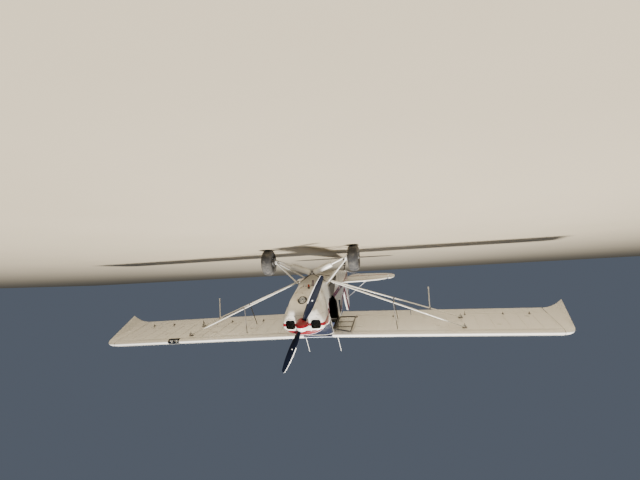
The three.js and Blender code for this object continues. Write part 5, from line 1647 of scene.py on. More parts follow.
def leg(side):
    """One side's gear: a vee of streamlined tubes, its hinges, brake line and caliper, and the shock strut"""
    tubes = joined(stream_tube(LEG_FRONT_TOP, LEG_FOOT, *FRONT_LEG_SECTION, 32),
                   stream_tube(LEG_REAR_TOP, REAR_LEG_FOOT, *REAR_LEG_SECTION, 28),
                   block((0.748, -0.035, -0.032), (0.79, 0.07, 0.042), 0.008))
    make(f"gear_vee_{side}", [
        (on_side(tubes, side), PLAIN_PAINT),
        (on_side(rod((0.748, 0, 0), (1.062, 0, 0), 0.019, 24, lip=0.002), side), SPRING_STEEL_AND_SHADE)],
        replaces=[f"gear_leg_{side}"], smooth=40)
    hinges = []
    for top, reach in ((LEG_FRONT_TOP, 0.034), (LEG_REAR_TOP, 0.03)):
        hinges.append(rod(top + Vector((-0.012, -reach, 0)), top + Vector((-0.012, reach, 0)), 0.012, 16,
                          lip=0.002))
        hinges.append(block(top + Vector((-0.05, -0.022, -0.012)), top + Vector((-0.004, 0.022, 0.02)),
                            0.004))
        hinges.append(bolt(top + Vector((-0.012, -reach, 0)), (0, -1, 0), 0.009, 0.007))
        hinges.append(bolt(top + Vector((-0.012, reach, 0)), (0, 1, 0), 0.009, 0.007))
    line = [LEG_REAR_TOP.lerp(REAR_LEG_FOOT, k / 12) + Vector((-0.006, 0.026, 0.002 * sin(k * 1.4)))
            for k in range(12)]
    line += [Vector((0.80, 0.085, 0.03)), Vector((0.832, 0.095, 0.045))]
    clips = [collar(LEG_REAR_TOP.lerp(REAR_LEG_FOOT, k), REAR_LEG_FOOT - LEG_REAR_TOP, 0.052, 0.03, 0.008)
             for k in (0.25, 0.5, 0.75)]
    make(f"gear_fittings_{side}", [
        (on_side(joined(*hinges), side), BRIGHT_METAL),
        (on_side(joined(tube(curve_through(line, 3), 0.004, 8), *clips), side), PLAIN_PAINT)])
    plate = rounded([(-0.02, -0.09, 0.01), (0.095, -0.07, 0.02), (0.1, 0.075, 0.02), (-0.02, 0.05, 0.01)])
    caliper = joined(slab(plate, 0.006, "x", 0.793, 0.001),
                     block((0.80, 0.062, -0.055), (0.842, 0.112, 0.055), 0.006),
                     *[bolt((0.80, 0.075 + 0.02 * s, 0.035 * k), (-1, 0, 0), 0.006, 0.005) for k in (1, -1)
                       for s in (0, 1)])
    make(f"brake_caliper_{side}", [(on_side(caliper, side), CAST_ALLOY)])
    barrel = joined(rod(SHOCK_IN, SHOCK_OUT, SHOCK_RADIUS, 40, lip=0.006),
                    rod(SHOCK_IN + SHOCK_AXIS * 0.03, SHOCK_IN + SHOCK_AXIS * 0.042, SHOCK_RADIUS + 0.0012,
                        40, lip=0.0015),
                    rod(SHOCK_OUT - SHOCK_AXIS * 0.042, SHOCK_OUT - SHOCK_AXIS * 0.03,
                        SHOCK_RADIUS + 0.0012, 40, lip=0.0015))
    bars = joined(rod(SHOCK_OUT - SHOCK_AXIS * 0.02, SHOCK_END, 0.02, 20),
                  rod((0.033, 0.04, 0.279), SHOCK_IN + SHOCK_AXIS * 0.02, 0.016, 20),
                  rod(SHOCK_OUT, SHOCK_OUT + SHOCK_AXIS * 0.02, 0.03, 24, lip=0.003))
    make(f"shock_{side}", [(on_side(joined(barrel, bars), side), PLAIN_PAINT)],
         replaces=[f"shock_strut_{side}"], smooth=40)
    eye = joined(bolt(SHOCK_END + Vector((0, 0.018, 0.002)), (0, 1, 0), 0.01, 0.009),
                 bolt(SHOCK_END + Vector((0, -0.018, 0.002)), (0, -1, 0), 0.01, 0.009),
                 tube(curve_through([SHOCK_END + Vector((-0.02, 0.03, 0.01)),
                                     SHOCK_OUT + Vector((0.1, 0.03, -0.06)), SHOCK_OUT
                                     + Vector((-0.1, 0.03, -0.05)), SHOCK_IN + Vector((0.02, 0.02, -0.03)),
                                     CABANE + Vector((0.016, 0.012, -0.03))], 5), 0.003, 8))
    make(f"shock_fittings_{side}", [(on_side(eye, side), BRIGHT_METAL)])


def cabane():
    bars = [rod((s * CABANE_LUG_X, y, z), CABANE, radius, 16)
            for (y, z), radius in zip(CABANE_LUGS, (0.009, 0.008)) for s in (1, -1)]
    make("cabane_frame", [(joined(*bars, block((-0.02, 0.018, 0.262), (0.02, 0.062, 0.318), 0.005)),
                           DARK_ENAMEL_AND_SHADE)],
         replaces=["cabane"], smooth=40)
    bolts = [bolt((s * 0.021, 0.04, 0.282), (s, 0, 0), 0.008, 0.006) for s in (1, -1)]
    bolts.append(bolt((0, 0.018, 0.29), (0, -1, 0), 0.014, 0.012))
    bolts += [bolt((s * CABANE_LUG_X, y + 0.016, z + 0.003), (0, 1, 0), 0.008, 0.007)
              for s in (1, -1) for y, z in CABANE_LUGS]
    make("cabane_bolts", [(joined(*bolts), BRIGHT_METAL)])


# Half profile of the main tyre: across from its middle, radius
TYRE_HALF = [
    (0.084, 0.104), (0.094, 0.110), (0.102, 0.125), (0.1065, 0.142), (0.1075, 0.146), (0.106, 0.150),
    (0.111, 0.165), (0.1115, 0.180), (0.112, 0.195), (0.110, 0.210), (0.1075, 0.222), (0.1085, 0.226),
    (0.105, 0.230), (0.100, 0.241), (0.095, 0.249), (0.088, 0.257), (0.082, 0.2625), (0.078, 0.2575),
    (0.073, 0.2595), (0.070, 0.269), (0.062, 0.2725), (0.055, 0.2745), (0.051, 0.2675), (0.045, 0.2685),
    (0.042, 0.2775), (0.030, 0.2795), (0.022, 0.2798), (0.018, 0.2725), (0.012, 0.2725), (0.009, 0.2797),
]


def full_profile(half):
    """Both halves of a turned form's profile, as radius and place along"""
    both = half + [(-across, radius) for across, radius in reversed(half)]
    return [(radius, across) for across, radius in both]


def main_wheel(side):
    at = Vector((WHEEL_X * SIDES[side], 0, 0))
    out = Vector((SIDES[side], 0, 0))
    body = f"wheel_{side}"
    tyre = aimed(turned(full_profile(TYRE_HALF), 132, closed=True), at, out)
    make(f"tyre_{side}", [(tyre, TYRE_RUBBER)], body=body, replaces=[f"main_tyre_{side}"],
         smooth=50)
    rim_half = [(0.084, 0.0196), (0.084, 0.034), (0.078, 0.036), (0.072, 0.06), (0.064, 0.064),
                (0.060, 0.068), (0.060, 0.088), (0.064, 0.093), (0.074, 0.096), (0.080, 0.1034)]
    rim = aimed(turned(full_profile(rim_half), 64, closed=True), at, out)
    trims = [rim]
    for k in range(6):
        angle = 2 * pi * k / 6
        spoke = Vector((0, cos(angle), sin(angle)))
        trims.append(bolt(at + out * 0.064 + spoke * 0.078, out, 0.006, 0.007))
        trims.append(bolt(at - out * 0.064 + spoke * 0.078, -out, 0.006, 0.007))
    trims.append(aimed(turned([(0, 0.105), (0.012, 0.1045), (0.026, 0.101), (0.031, 0.092), (0.033, 0.082),
                               (0.020, 0.082), (0.020, 0.084)], 40), at, out))
    trims.append(tube([at + out * 0.062 + Vector((0, 0.05, 0.055)),
                       at + out * 0.085 + Vector((0, 0.052, 0.06))], 0.004, 8))
    make(f"wheel_rim_{side}", [(joined(*trims), CAST_ALLOY)], body=body,
         replaces=[f"main_wheel_{side}"], smooth=38)
    disc_at = at - out * 0.118
    disc = joined(aimed(turned([(0.050, -0.004), (0.092, -0.004), (0.092, 0.004), (0.050, 0.004)], 56,
                               closed=True),
                        disc_at, out),
                  aimed(turned([(0.034, 0.002), (0.052, 0.002), (0.052, 0.034), (0.034, 0.034)], 40,
                               closed=True),
                        disc_at, out))
    make(f"brake_disc_{side}", [(disc, SPRING_STEEL_AND_SHADE)], body=body)


# Tailwheel

TAIL_AXLE = TO_AIRFRAME @ Vector(joint_of["tail_wheel_spin"]["pos_m"])
FORK_Z = TAIL_AXLE.z + 0.168


KEEL_START = (3.8, 1.04)
KEEL_RISE = 0.26
KEEL_RUN = 1.15
SPRING_FRONT_Y = 4.64
SPRING_CLAMPS_Y = (4.665, 4.79)


def keel_at(y):
    return KEEL_START[1] + (y - KEEL_START[0]) * KEEL_RISE / KEEL_RUN


def tail_gear():
    clamp_y = SPRING_CLAMPS_Y[1]
    clamp_z = keel_at(clamp_y)

    def leaf(drop, thick, end_y, end_up):
        path = curve_through([(0, SPRING_FRONT_Y, keel_at(SPRING_FRONT_Y) - 0.010 - drop),
                              (0, clamp_y, clamp_z - 0.014 - drop),
                              (0, 4.9, clamp_z + (FORK_Z + 0.017 - clamp_z) * 0.5 - drop),
                              (0, end_y, FORK_Z + end_up - drop)], 5)
        return ribbon(path, 0.036, thick, (1, 0, 0))
    leaves = joined(leaf(-0.004, 0.0055, 5.016, 0.024), leaf(0.0025, 0.005, 4.975, 0.034),
                    leaf(0.0085, 0.0045, 4.92, 0.058))
    clamps = joined(*[block((-0.024, y - 0.009, keel_at(y) - 0.026), (0.024, y + 0.009, keel_at(y) - 0.02),
                            0.002)
                      for y in SPRING_CLAMPS_Y],
                    *[rod((s * 0.021, y, keel_at(y) - 0.03), (s * 0.021, y, keel_at(y) + 0.004), 0.004, 10)
                      for s in (1, -1) for y in SPRING_CLAMPS_Y])
    make("tail_leaf_spring", [(leaves, SPRING_STEEL_AND_SHADE), (clamps, BRIGHT_METAL)],
         replaces=["tail_spring"], smooth=40)
    y, z = TAIL_AXLE.y, TAIL_AXLE.z
    cheek = rounded([(TAIL_FORK_Y - 0.022, FORK_Z - 0.03), (TAIL_FORK_Y + 0.026, FORK_Z - 0.03, 0.006),
                     (y + 0.024, z, 0.008), (y + 0.01, z - 0.022, 0.008), (y - 0.018, z - 0.01, 0.008)])
    fork = joined(rod((0, TAIL_FORK_Y, FORK_Z - 0.032), (0, TAIL_FORK_Y, FORK_Z + 0.006), 0.02, 28,
                      lip=0.002),
                  block((-0.038, TAIL_FORK_Y - 0.022, FORK_Z - 0.036),
                        (0.038, TAIL_FORK_Y + 0.026, FORK_Z - 0.022), 0.005),
                  slab(cheek, 0.008, "x", 0.034, 0.0015), slab(cheek, 0.008, "x", -0.034, 0.0015),
                  rod((-0.044, y, z), (0.044, y, z), 0.007, 16, lip=0.001),
                  bolt((0.038, y, z), (1, 0, 0), 0.009, 0.007),
                  bolt((-0.038, y, z), (-1, 0, 0), 0.009, 0.007))
    arms = joined(block((-0.07, TAIL_FORK_Y - 0.012, FORK_Z - 0.021),
                        (0.07, TAIL_FORK_Y + 0.006, FORK_Z - 0.016), 0.004),
                  rod((0, TAIL_FORK_Y, FORK_Z - 0.05), (0, TAIL_FORK_Y, FORK_Z - 0.036), 0.013, 20,
                      lip=0.003))
    make("tail_fork_arms", [(joined(fork, arms), SPRING_STEEL_AND_SHADE)], body="tail_fork",
         replaces=["tail_fork"], smooth=38)
    half = [(0.016, 0.0076), (0.016, 0.03), (0.010, 0.034), (0.010, 0.05), (0.018, 0.056), (0.0235, 0.062),
            (0.0245, 0.074), (0.025, 0.085), (0.0225, 0.097), (0.018, 0.106), (0.012, 0.1115),
            (0.006, 0.1149), (0.004, 0.112)]
    wheel = aimed(turned(full_profile(half), 72, closed=True), TAIL_AXLE, (1, 0, 0))
    hub = []
    rubber_faces = []
    points, faces = wheel
    for face in faces:
        reach = sum(((points[i] - TAIL_AXLE).yz.length for i in face)) / len(face)
        (rubber_faces if reach > 0.0585 else hub).append(face)
    make("tail_wheel_solid", [((points, rubber_faces), TYRE_RUBBER), ((points, hub), CAST_ALLOY)],
         body="tail_wheel", replaces=["tail_wheel"], smooth=45)


def spans(outline, at, along):
    """Where a straight line crosses an outline: pairs of places along it"""
    across = 1 - along
    crossings = []
    for a, b in zip(outline, outline[1:] + outline[:1]):
        if (a[across] - at) * (b[across] - at) < 0:
            share = (at - a[across]) / (b[across] - a[across])
            crossings.append(a[along] + (b[along] - a[along]) * share)
    crossings.sort()
    return list(zip(crossings[::2], crossings[1::2]))


def soft_plate(outline, thickness, normal, at, edge):
    """A fabric-covered surface: its edge is rounded over a tube"""
    place = DRAWN_ON[normal]
    half = thickness / 2
    rings = []
    for k in range(5):
        angle = pi / 2 * k / 4
        inset, rise = edge * (1 - sin(angle)), half * cos(angle) * 0.86 + half * 0.14 * (k < 4)
        rings.append((inset, rise))
    low = [(inset, -rise) for inset, rise in rings]
    high = [(inset, rise) for inset, rise in reversed(rings[:-1])]
    return loft([[place(p, at + rise) for p in grown(outline, -inset)] for inset, rise in low + high])


def surface_ribs(outline, normal, at, half, places, along, width=0.028, inset=0.014):
    """Tapes over the ribs of a flat surface, on both its faces"""
    place = DRAWN_ON[normal]
    strips = []
    for spot in places:
        for low, high in spans([tuple(p) for p in outline], spot, along):
            if high - low < 0.08:
                continue
            ends = [(low + inset, spot), (high - inset, spot)]
            flat = [(a, b) if along == 0 else (b, a) for a, b in ends]
            for face in (1, -1):
                path = [place(p, at + face * (half + 0.0006)) for p in flat]
                middle = path[0].lerp(path[1], 0.5)
                across = place((0, 1) if along == 0 else (1, 0), 0)
                across = across - place((0, 0), 0)
                strips.append(ribbon([path[0], middle, path[1]], width, TAPE_THICKNESS, across))
    return joined(*strips)


STABILIZER = [(0.07, 4.3), (0.7, 4.34, 0.06), (1.18, 4.45, 0.12), (1.388, 4.6, 0.06), (1.388, 4.963),
              (0.07, 4.963)]
ELEVATOR = [(0.085, 4.975), (1.4, 4.975), (1.4, 4.59), (1.47, 4.59, 0.03), (1.56, 4.69, 0.06),
            (1.606, 4.87, 0.08), (1.562, 5.1, 0.16), (1.28, 5.26, 0.2), (0.64, 5.35, 0.12),
            (0.3, 5.36, 0.06), (0.172, 5.262), (0.085, 5.085)]
FIN = [(4.06, 1.592), (4.15, 1.63, 0.02), (4.56, 2.32, 0.2), (4.79, 2.56, 0.06), (4.957, 2.6), (4.957, 1.56),
       (4.3, 1.572)]
RUDDER = [(4.985, 1.29), (4.985, 2.63, 0.03), (5.1, 2.65, 0.06), (5.3, 2.5, 0.14), (5.45, 2.08, 0.2),
          (5.45, 1.64, 0.2), (5.33, 1.37, 0.12), (5.11, 1.28, 0.06)]
WIRE_FEET = [(0.79, 4.9), (0.76, 4.56)]
HINGES_X = (0.22, 0.7, 1.2)


def tail_wire(root, foot):
    """A round bracing wire with a thicker fitting near each end"""
    root, foot = Vector(root), Vector(foot)
    axis = (foot - root).normalized()
    return joined(rod(root, foot, 0.0044, 10), rod(root + axis * 0.02, root + axis * 0.1, 0.007, 10,
                                                   lip=0.001),
                  rod(foot - axis * 0.07, foot - axis * 0.01, 0.007, 10, lip=0.001))


def wire_set(root, face, anchor):
    """Bracing wires to both stabilizers, on their upper (1) or lower (-1) face, with a plate at each foot"""
    low, high = sorted((TAIL_Z + face * 0.019, TAIL_Z + face * 0.026))
    feet = [(s, x, y) for x, y in WIRE_FEET for s in (1, -1)]
    wires, plates = [], []
    for s, x, y in feet:
        wires.append(tail_wire((s * root[0], *root[1:]), (s * x, y, TAIL_Z + face * 0.028)))
        plates.append(block((s * x - 0.014, y - 0.014, low), (s * x + 0.014, y + 0.014, high), 0.003))
    return joined(*wires, *plates, anchor)


def flying_tail(side):
    outline = rounded(STABILIZER, 6)
    plate = carved(soft_plate(outline, 0.044, "z", TAIL_Z, 0.014), whole_hull(-0.002))
    make(f"stabilizer_skin_{side}", [(on_side(plate, side), FABRIC)],
         replaces=[f"stabilizer_{side}"], smooth=40)
    ribs = surface_ribs(outline, "z", TAIL_Z, 0.0189, [0.2 + 0.195 * k for k in range(6)], 1)
    make(f"stabilizer_tapes_{side}", [(on_side(ribs, side), TAPE_PAINT)])
    outline = rounded(ELEVATOR, 6)
    make(f"elevator_skin_{side}", [(on_side(soft_plate(outline, 0.04, "z", TAIL_Z, 0.013), side), FABRIC)],
         body="elevators", replaces=[f"elevator_{side}"], smooth=40)
    ribs = surface_ribs(outline, "z", TAIL_Z, 0.0172, [0.2 + 0.195 * k for k in range(7)], 1)
    make(f"elevator_tapes_{side}", [(on_side(ribs, side), TAPE_PAINT)], body="elevators")
    hinges = joined(*[block((x - 0.022, 4.952, TAIL_Z - 0.006), (x + 0.022, 4.968, TAIL_Z + 0.006), 0.002)
                      for x in HINGES_X])
    make(f"stabilizer_hinges_{side}", [(on_side(hinges, side), BRIGHT_METAL)])


def fin_and_rudder():
    outline = rounded(FIN, 6)
    plate = carved(soft_plate(outline, 0.044, "x", 0.0, 0.013), whole_hull(-0.002))
    make("fin_skin", [(plate, FABRIC)], replaces=["fin"], smooth=40)
    ribs = surface_ribs(outline, "x", 0.0, 0.0189, [1.72 + 0.17 * k for k in range(5)], 0)
    make("fin_tapes", [(ribs, FABRIC)])
    upper = wire_set((0.012, 4.9, 2.19), 1, block((-0.026, 4.885, 2.18), (0.026, 4.915, 2.2), 0.003))
    make("fin_wires", [(upper, BRIGHT_METAL)])
    lower = wire_set((0.058, 4.6, 1.209), -1, block((-0.064, 4.588, 1.201), (0.064, 4.612, 1.217), 0.003))
    make("keel_wires", [(lower, BRIGHT_METAL)], replaces=["tail_wires_lower"])
    outline = rounded(RUDDER, 6)
    make("rudder_skin", [(soft_plate(outline, 0.038, "x", 0.0, 0.012), FABRIC)], body="rudder",
         replaces=["rudder"], smooth=40)
    ribs = surface_ribs(outline, "x", 0.0, 0.0163, [1.42 + 0.17 * k for k in range(7)], 0)
    make("rudder_tapes", [(ribs, FABRIC)], body="rudder")
    dome = [(0.0, 0.03), (0.008, 0.028), (0.014, 0.02), (0.016, 0.008), (0.016, 0.0), (0, 0)]
    lamp = aimed(turned(dome, 24), (0, 5.436, 1.86), (0, 1, 0))
    make("tail_lamp", [(lamp, LAMP_GLASS)], body="rudder")
    horn = slab(rounded([(5.0, -0.09, 0.006), (5.03, -0.09, 0.006), (5.04, 0.0), (5.03, 0.09, 0.006),
                         (5.0, 0.09, 0.006), (4.99, 0.0)]), 0.004, "x", 0.0)
    horn = ([Vector((p.z, p.y, 1.325 + p.x)) for p in horn[0]], horn[1])
    make("rudder_horn", [(horn, BRIGHT_METAL)], body="rudder")
    cables = []
    for s in (1, -1):
        for z in (1.35, 1.42):
            cables.append(tube([(s * 0.03, 4.93, z), (s * 0.06, 4.6, z - 0.004), (s * 0.10, 4.2, z - 0.01)],
                               0.0018, 6))
    make("control_cables", [(joined(*cables), BRIGHT_METAL)])


for side in SIDES:
    struts(side)
    leg(side)
    main_wheel(side)
    flying_tail(side)
cabane()
tail_gear()
fin_and_rudder()


# Engine bay

# The cowl's stations: y, half width, height where it is widest, top, bottom, half width at the bottom,
# power of its upper arch
COWL_STATIONS = [
    (-1.215, 0.292, 1.026, 1.168, 0.860, 0.205, 0.98),
    (-1.200, 0.385, 1.032, 1.220, 0.785, 0.262, 0.98),
    (-1.150, 0.420, 1.036, 1.260, 0.715, 0.288, 0.98),
    (-1.000, 0.438, 1.024, 1.306, 0.615, 0.288, 1.0),
    (-0.700, 0.420, 1.022, 1.338, 0.520, 0.264, 1.02),
    (-0.352, 0.354, 1.150, 1.357, 0.457, 0.252, 0.7),
]
COWL_WALL = 0.008
COWL_SIDE = 0.3
COWL_STEPS = 14
COWL_SPLIT_Z = 0.985
BOWL_BACK_Y = -1.01
BOWL_LOW_Z = 0.85
COWL_SEAM = 0.0012
INTAKE_AT = (0.252, 1.03)
INTAKE_HALF = (0.102, 0.094)
AIR_INLET = (0.15, 0.868)
LAMP_AT = Vector((0.02, -0.985, 0.612))
LAMP_AIM = Vector((0, -0.86, -0.51)).normalized()
LAMP_RADIUS = 0.07
PROP_AT = Vector((0, PROP_Y, THRUST_Z))


def cowl_ring(station, inset=0.0):
    y, half, widest, top, low, half_low, power = station
    half, half_low, low = half - inset, half_low - inset, low + inset
    corner = 0.07
    knee = widest - COWL_SIDE * (widest - low)
    flat_end, turn = Vector((half_low - corner, low)), Vector((half_low + 0.002, low))
    side_start, side_end = Vector((half_low + 0.012, low + corner * 0.95)), Vector((half, widest))
    bend = Vector((half * 0.985, knee - (widest - knee) * 0.25))
    right = [(half_low - corner, low)]
    for a, b, c, last, steps in ((flat_end, turn, side_start, 4, 4), (side_start, bend, side_end, 7, 8)):
        for k in range(1, last + 1):
            t = k / steps
            spot = a * (1 - t) ** 2 + b * 2 * t * (1 - t) + c * t * t
            right.append((spot.x, spot.y))
    for i in range(COWL_STEPS):
        angle = i / COWL_STEPS * pi / 2
        right.append((half * cos(angle) ** power, widest + (top - inset - widest) * sin(angle) ** power))
    left = [(-x, z) for x, z in reversed(right)]
    return [Vector((x, y, z)) for x, z in right + [(0, top - inset)] + left]


def smooth_stations(stations, steps=6):
    """Stations set between the given ones, on smooth curves that keep to the given ones"""
    def slope(i, k):
        if i == 0:
            return (stations[1][k] - stations[0][k]) / (stations[1][0] - stations[0][0])
        if i == len(stations) - 1:
            return (stations[-1][k] - stations[-2][k]) / (stations[-1][0] - stations[-2][0])
        before = (stations[i][k] - stations[i - 1][k]) / (stations[i][0] - stations[i - 1][0])
        after = (stations[i + 1][k] - stations[i][k]) / (stations[i + 1][0] - stations[i][0])
        return 0 if before * after <= 0 else 2 * before * after / (before + after)
    rows = []
    for i in range(len(stations) - 1):
        a, b = stations[i], stations[i + 1]
        length = b[0] - a[0]
        for step in range(steps):
            t = step / steps
            row = [a[0] + length * t]
            for k in range(1, len(a)):
                m0, m1 = slope(i, k) * length, slope(i + 1, k) * length
                row.append((2 * t ** 3 - 3 * t * t + 1) * a[k] + (t ** 3 - 2 * t * t + t) * m0
                           + (-2 * t ** 3 + 3 * t * t) * b[k] + (t ** 3 - t * t) * m1)
            rows.append(tuple(row))
    return rows + [stations[-1]]


def intake_prism(side, by=0.0):
    corners = [(side * INTAKE_AT[0] + i * (INTAKE_HALF[0] + by), INTAKE_AT[1] + j * (INTAKE_HALF[1] + by),
                0.058)
               for i, j in ((-1, -1), (1, -1), (1, 1), (-1, 1))]
    return rounded(corners, 8)


def onto(skin, start, direction):
    hit, normal, _, _ = skin.ray_cast(Vector(start), Vector(direction))
    return hit, normal


def fastener(at, axis, radius=0.0095):
    """A quarter-turn fastener: a flanged stud with a slot"""
    head = turned([(0, 0.0004), (0.0012, 0.0022), (radius * 0.55, 0.0026), (radius * 0.62, 0.0014),
                   (radius * 0.95, 0.0014), (radius, 0.0), (0, 0)], 16)
    slot = block((-radius * 0.5, 0.0022, -0.0008), (radius * 0.5, 0.0032, 0.0008))
    return aimed(joined(head, slot), at, axis)


def engine_bay():
    outer = loft([cowl_ring(row) for row in smooth_stations(COWL_STATIONS)])
    skin = surface_of(outer)
    inner_rows = smooth_stations([(-1.204, *COWL_STATIONS[0][1:])] + COWL_STATIONS[1:])
    inner = loft([cowl_ring(row, COWL_WALL) for row in inner_rows + [(-0.3, *COWL_STATIONS[-1][1:])]])
    lamp_hole = rod(LAMP_AT - LAMP_AIM * 0.12, LAMP_AT + LAMP_AIM * 0.12, LAMP_RADIUS + 0.014, 48)
    shaft_hole = rod((0, -1.3, THRUST_Z), (0, -1.1, THRUST_Z), 0.07, 40)
    intakes = [slab(intake_prism(side), 0.26, "y", -1.17) for side in (1, -1)]
    shell = carved(outer, inner, *intakes, shaft_hole, lamp_hole)

    def between_planes(y0, y1, z0, z1):
        return block((-0.6, y0, z0), (0.6, y1, z1))
    bowl = carved(shell, between_planes(-1.4, BOWL_BACK_Y - COWL_SEAM, BOWL_LOW_Z + COWL_SEAM, 1.5),
                  operation="INTERSECT")
    top = carved(shell, between_planes(BOWL_BACK_Y + COWL_SEAM, 0, COWL_SPLIT_Z + COWL_SEAM, 1.5),
                 operation="INTERSECT")
    lower = carved(carved(shell, between_planes(-1.4, 0, 0.3, COWL_SPLIT_Z - COWL_SEAM),
                          operation="INTERSECT"),
                   between_planes(-1.4, BOWL_BACK_Y + COWL_SEAM, BOWL_LOW_Z - COWL_SEAM, 1.5),
                   block((-0.13, -0.43, 0.4), (0.13, -0.34, 0.6)))
    # The shells' inner faces are black as painted shade of the engine bay, seen through the intakes
    for name, part in (("nose_bowl", bowl), ("cowl_top", top), ("cowl_lower", lower)):
        make(f"{name}_shell", lined(part, outer, COWL_PAINT, PANEL_BLACK_AND_SHADE),
             replaces=[name], smooth=34, bevel=0.0006)
    lips = []
    for side in (1, -1):
        path = []
        for p in intake_prism(side):
            path.append(onto(skin, (p.x, -2, p.y), (0, 1, 0))[0])
        lips.append(tube(path, 0.0075, 10, round_trip=True))
    ring = []
    for k in range(48):
        angle = 2 * pi * k / 48
        across = LAMP_AIM.cross(Vector((1, 0, 0))).normalized()
        spot = LAMP_AT + (Vector((1, 0, 0)) * cos(angle) + across * sin(angle)) * (LAMP_RADIUS + 0.016)
        ring.append(onto(skin, spot + LAMP_AIM * 0.5, -LAMP_AIM)[0])
    make("intake_lips", [(joined(*lips), COWL_PAINT)], smooth=60)
    make("lamp_gasket", [(tube(ring, 0.007, 10, round_trip=True), SEAL_RUBBER)],
         smooth=60)
    studs = []
    for s in (1, -1):
        for x, z in ((0.15, 1.16), (0.34, 1.13), (0.12, 0.9), (0.27, 0.905)):
            hit, normal = onto(skin, (s * x, -2, z), (0, 1, 0))
            if hit:
                studs.append(fastener(hit, normal if normal.y < 0 else -normal))
    side_places = [(y, COWL_SPLIT_Z - 0.02) for y in (-0.94, -0.78, -0.62, -0.46, -0.38)]
    side_places += [(-0.372, z) for z in (0.7, 0.8, 0.9, 1.08, 1.2)]
    side_places += [(BOWL_BACK_Y + 0.025, z) for z in (0.76, 0.89)]
    for s in (1, -1):
        for y, z in side_places:
            hit, _ = onto(skin, (s * 2, y, z), (-s, 0, 0))
            studs.append(fastener(hit, (s, 0, 0)))
    for x in (-0.3, -0.15, 0, 0.15, 0.3):
        for y in (BOWL_BACK_Y + 0.022, -0.372):
            hit, normal = onto(skin, (x, y, 2), (0, 0, -1))
            studs.append(fastener(hit, normal if normal.z > 0 else -normal))
    make("cowl_fasteners", [(joined(*studs), BRIGHT_METAL)])
    hit, normal = onto(skin, (AIR_INLET[0], -2, AIR_INLET[1]), (0, 1, 0))
    # A shallow black disc stands for the inlet's opening: its black is painted shade
    inlet_shade_disc = aimed(turned([(0, 0.0015), (0.012, 0.0015), (0.012, -0.004), (0, -0.004)], 24), hit, normal)
    rim = aimed(turned([(0.012, -0.002), (0.012, 0.004), (0.0155, 0.004), (0.017, -0.002)], 24, closed=True),
                hit, normal)
    make("air_inlet", [(inlet_shade_disc, PANEL_BLACK_AND_SHADE), (rim, COWL_PAINT)])
    # The lamp: a bowl reflector behind clear glass, in its ring
    reflector = aimed(turned([(0.0, -0.05), (0.02, -0.047), (0.04, -0.036), (0.055, -0.018), (0.064, 0.002),
                              (0.068, 0.010), (0.070, 0.010), (0.066, -0.004), (0.058, -0.022),
                              (0.042, -0.04), (0.02, -0.051), (0.0, -0.054)], 48), LAMP_AT, LAMP_AIM)
    glass = aimed(turned([(0.0, 0.016), (0.03, 0.0155), (0.055, 0.013), (0.067, 0.011), (0.067, 0.0085),
                          (0.055, 0.0105), (0.03, 0.013), (0.0, 0.0135)], 48), LAMP_AT, LAMP_AIM)
    retainer = aimed(turned([(0.066, 0.006), (0.066, 0.0155), (0.070, 0.0155), (0.078, 0.012),
                             (0.080, 0.004), (0.074, -0.004)],
                            48, closed=True), LAMP_AT, LAMP_AIM)
    bulb = aimed(turned([(0.0, -0.01), (0.006, -0.012), (0.009, -0.02), (0.009, -0.03), (0.012, -0.036),
                         (0.012, -0.05), (0, -0.05)], 16), LAMP_AT, LAMP_AIM)
    make("lamp_unit", [(reflector, MIRROR), (glass, LAMP_GLASS), (retainer, DARK_ENAMEL_AND_SHADE),
                       (bulb, BRIGHT_METAL)],
         replaces=["landing_lamp"], smooth=45)
    case = aimed(turned([(0.0, -0.062), (0.05, -0.058), (0.079, -0.02), (0.0805, 0.0), (0.0775, 0.0),
                         (0.074, -0.018), (0.046, -0.054), (0.0, -0.057)], 32), LAMP_AT, LAMP_AIM)
    make("lamp_case", [(case, DARK_ENAMEL_AND_SHADE)])


def finned_cylinder(root, out, radius, length, fins):
    """One cylinder with its cooling fins, from the crankcase outward"""
    profile = [(0, 0), (radius, 0)]
    pitch = length * 0.62 / fins
    for k in range(fins):
        base = length * 0.08 + k * pitch
        profile += [(radius, base), (radius * 1.3, base + pitch * 0.06), (radius * 1.3, base + pitch * 0.3),
                    (radius, base + pitch * 0.4)]
    profile += [(radius * 1.2, length * 0.72), (radius * 1.25, length * 0.94), (radius * 1.1, length),
                (0, length)]
    return aimed(turned(profile, 28), root, out)


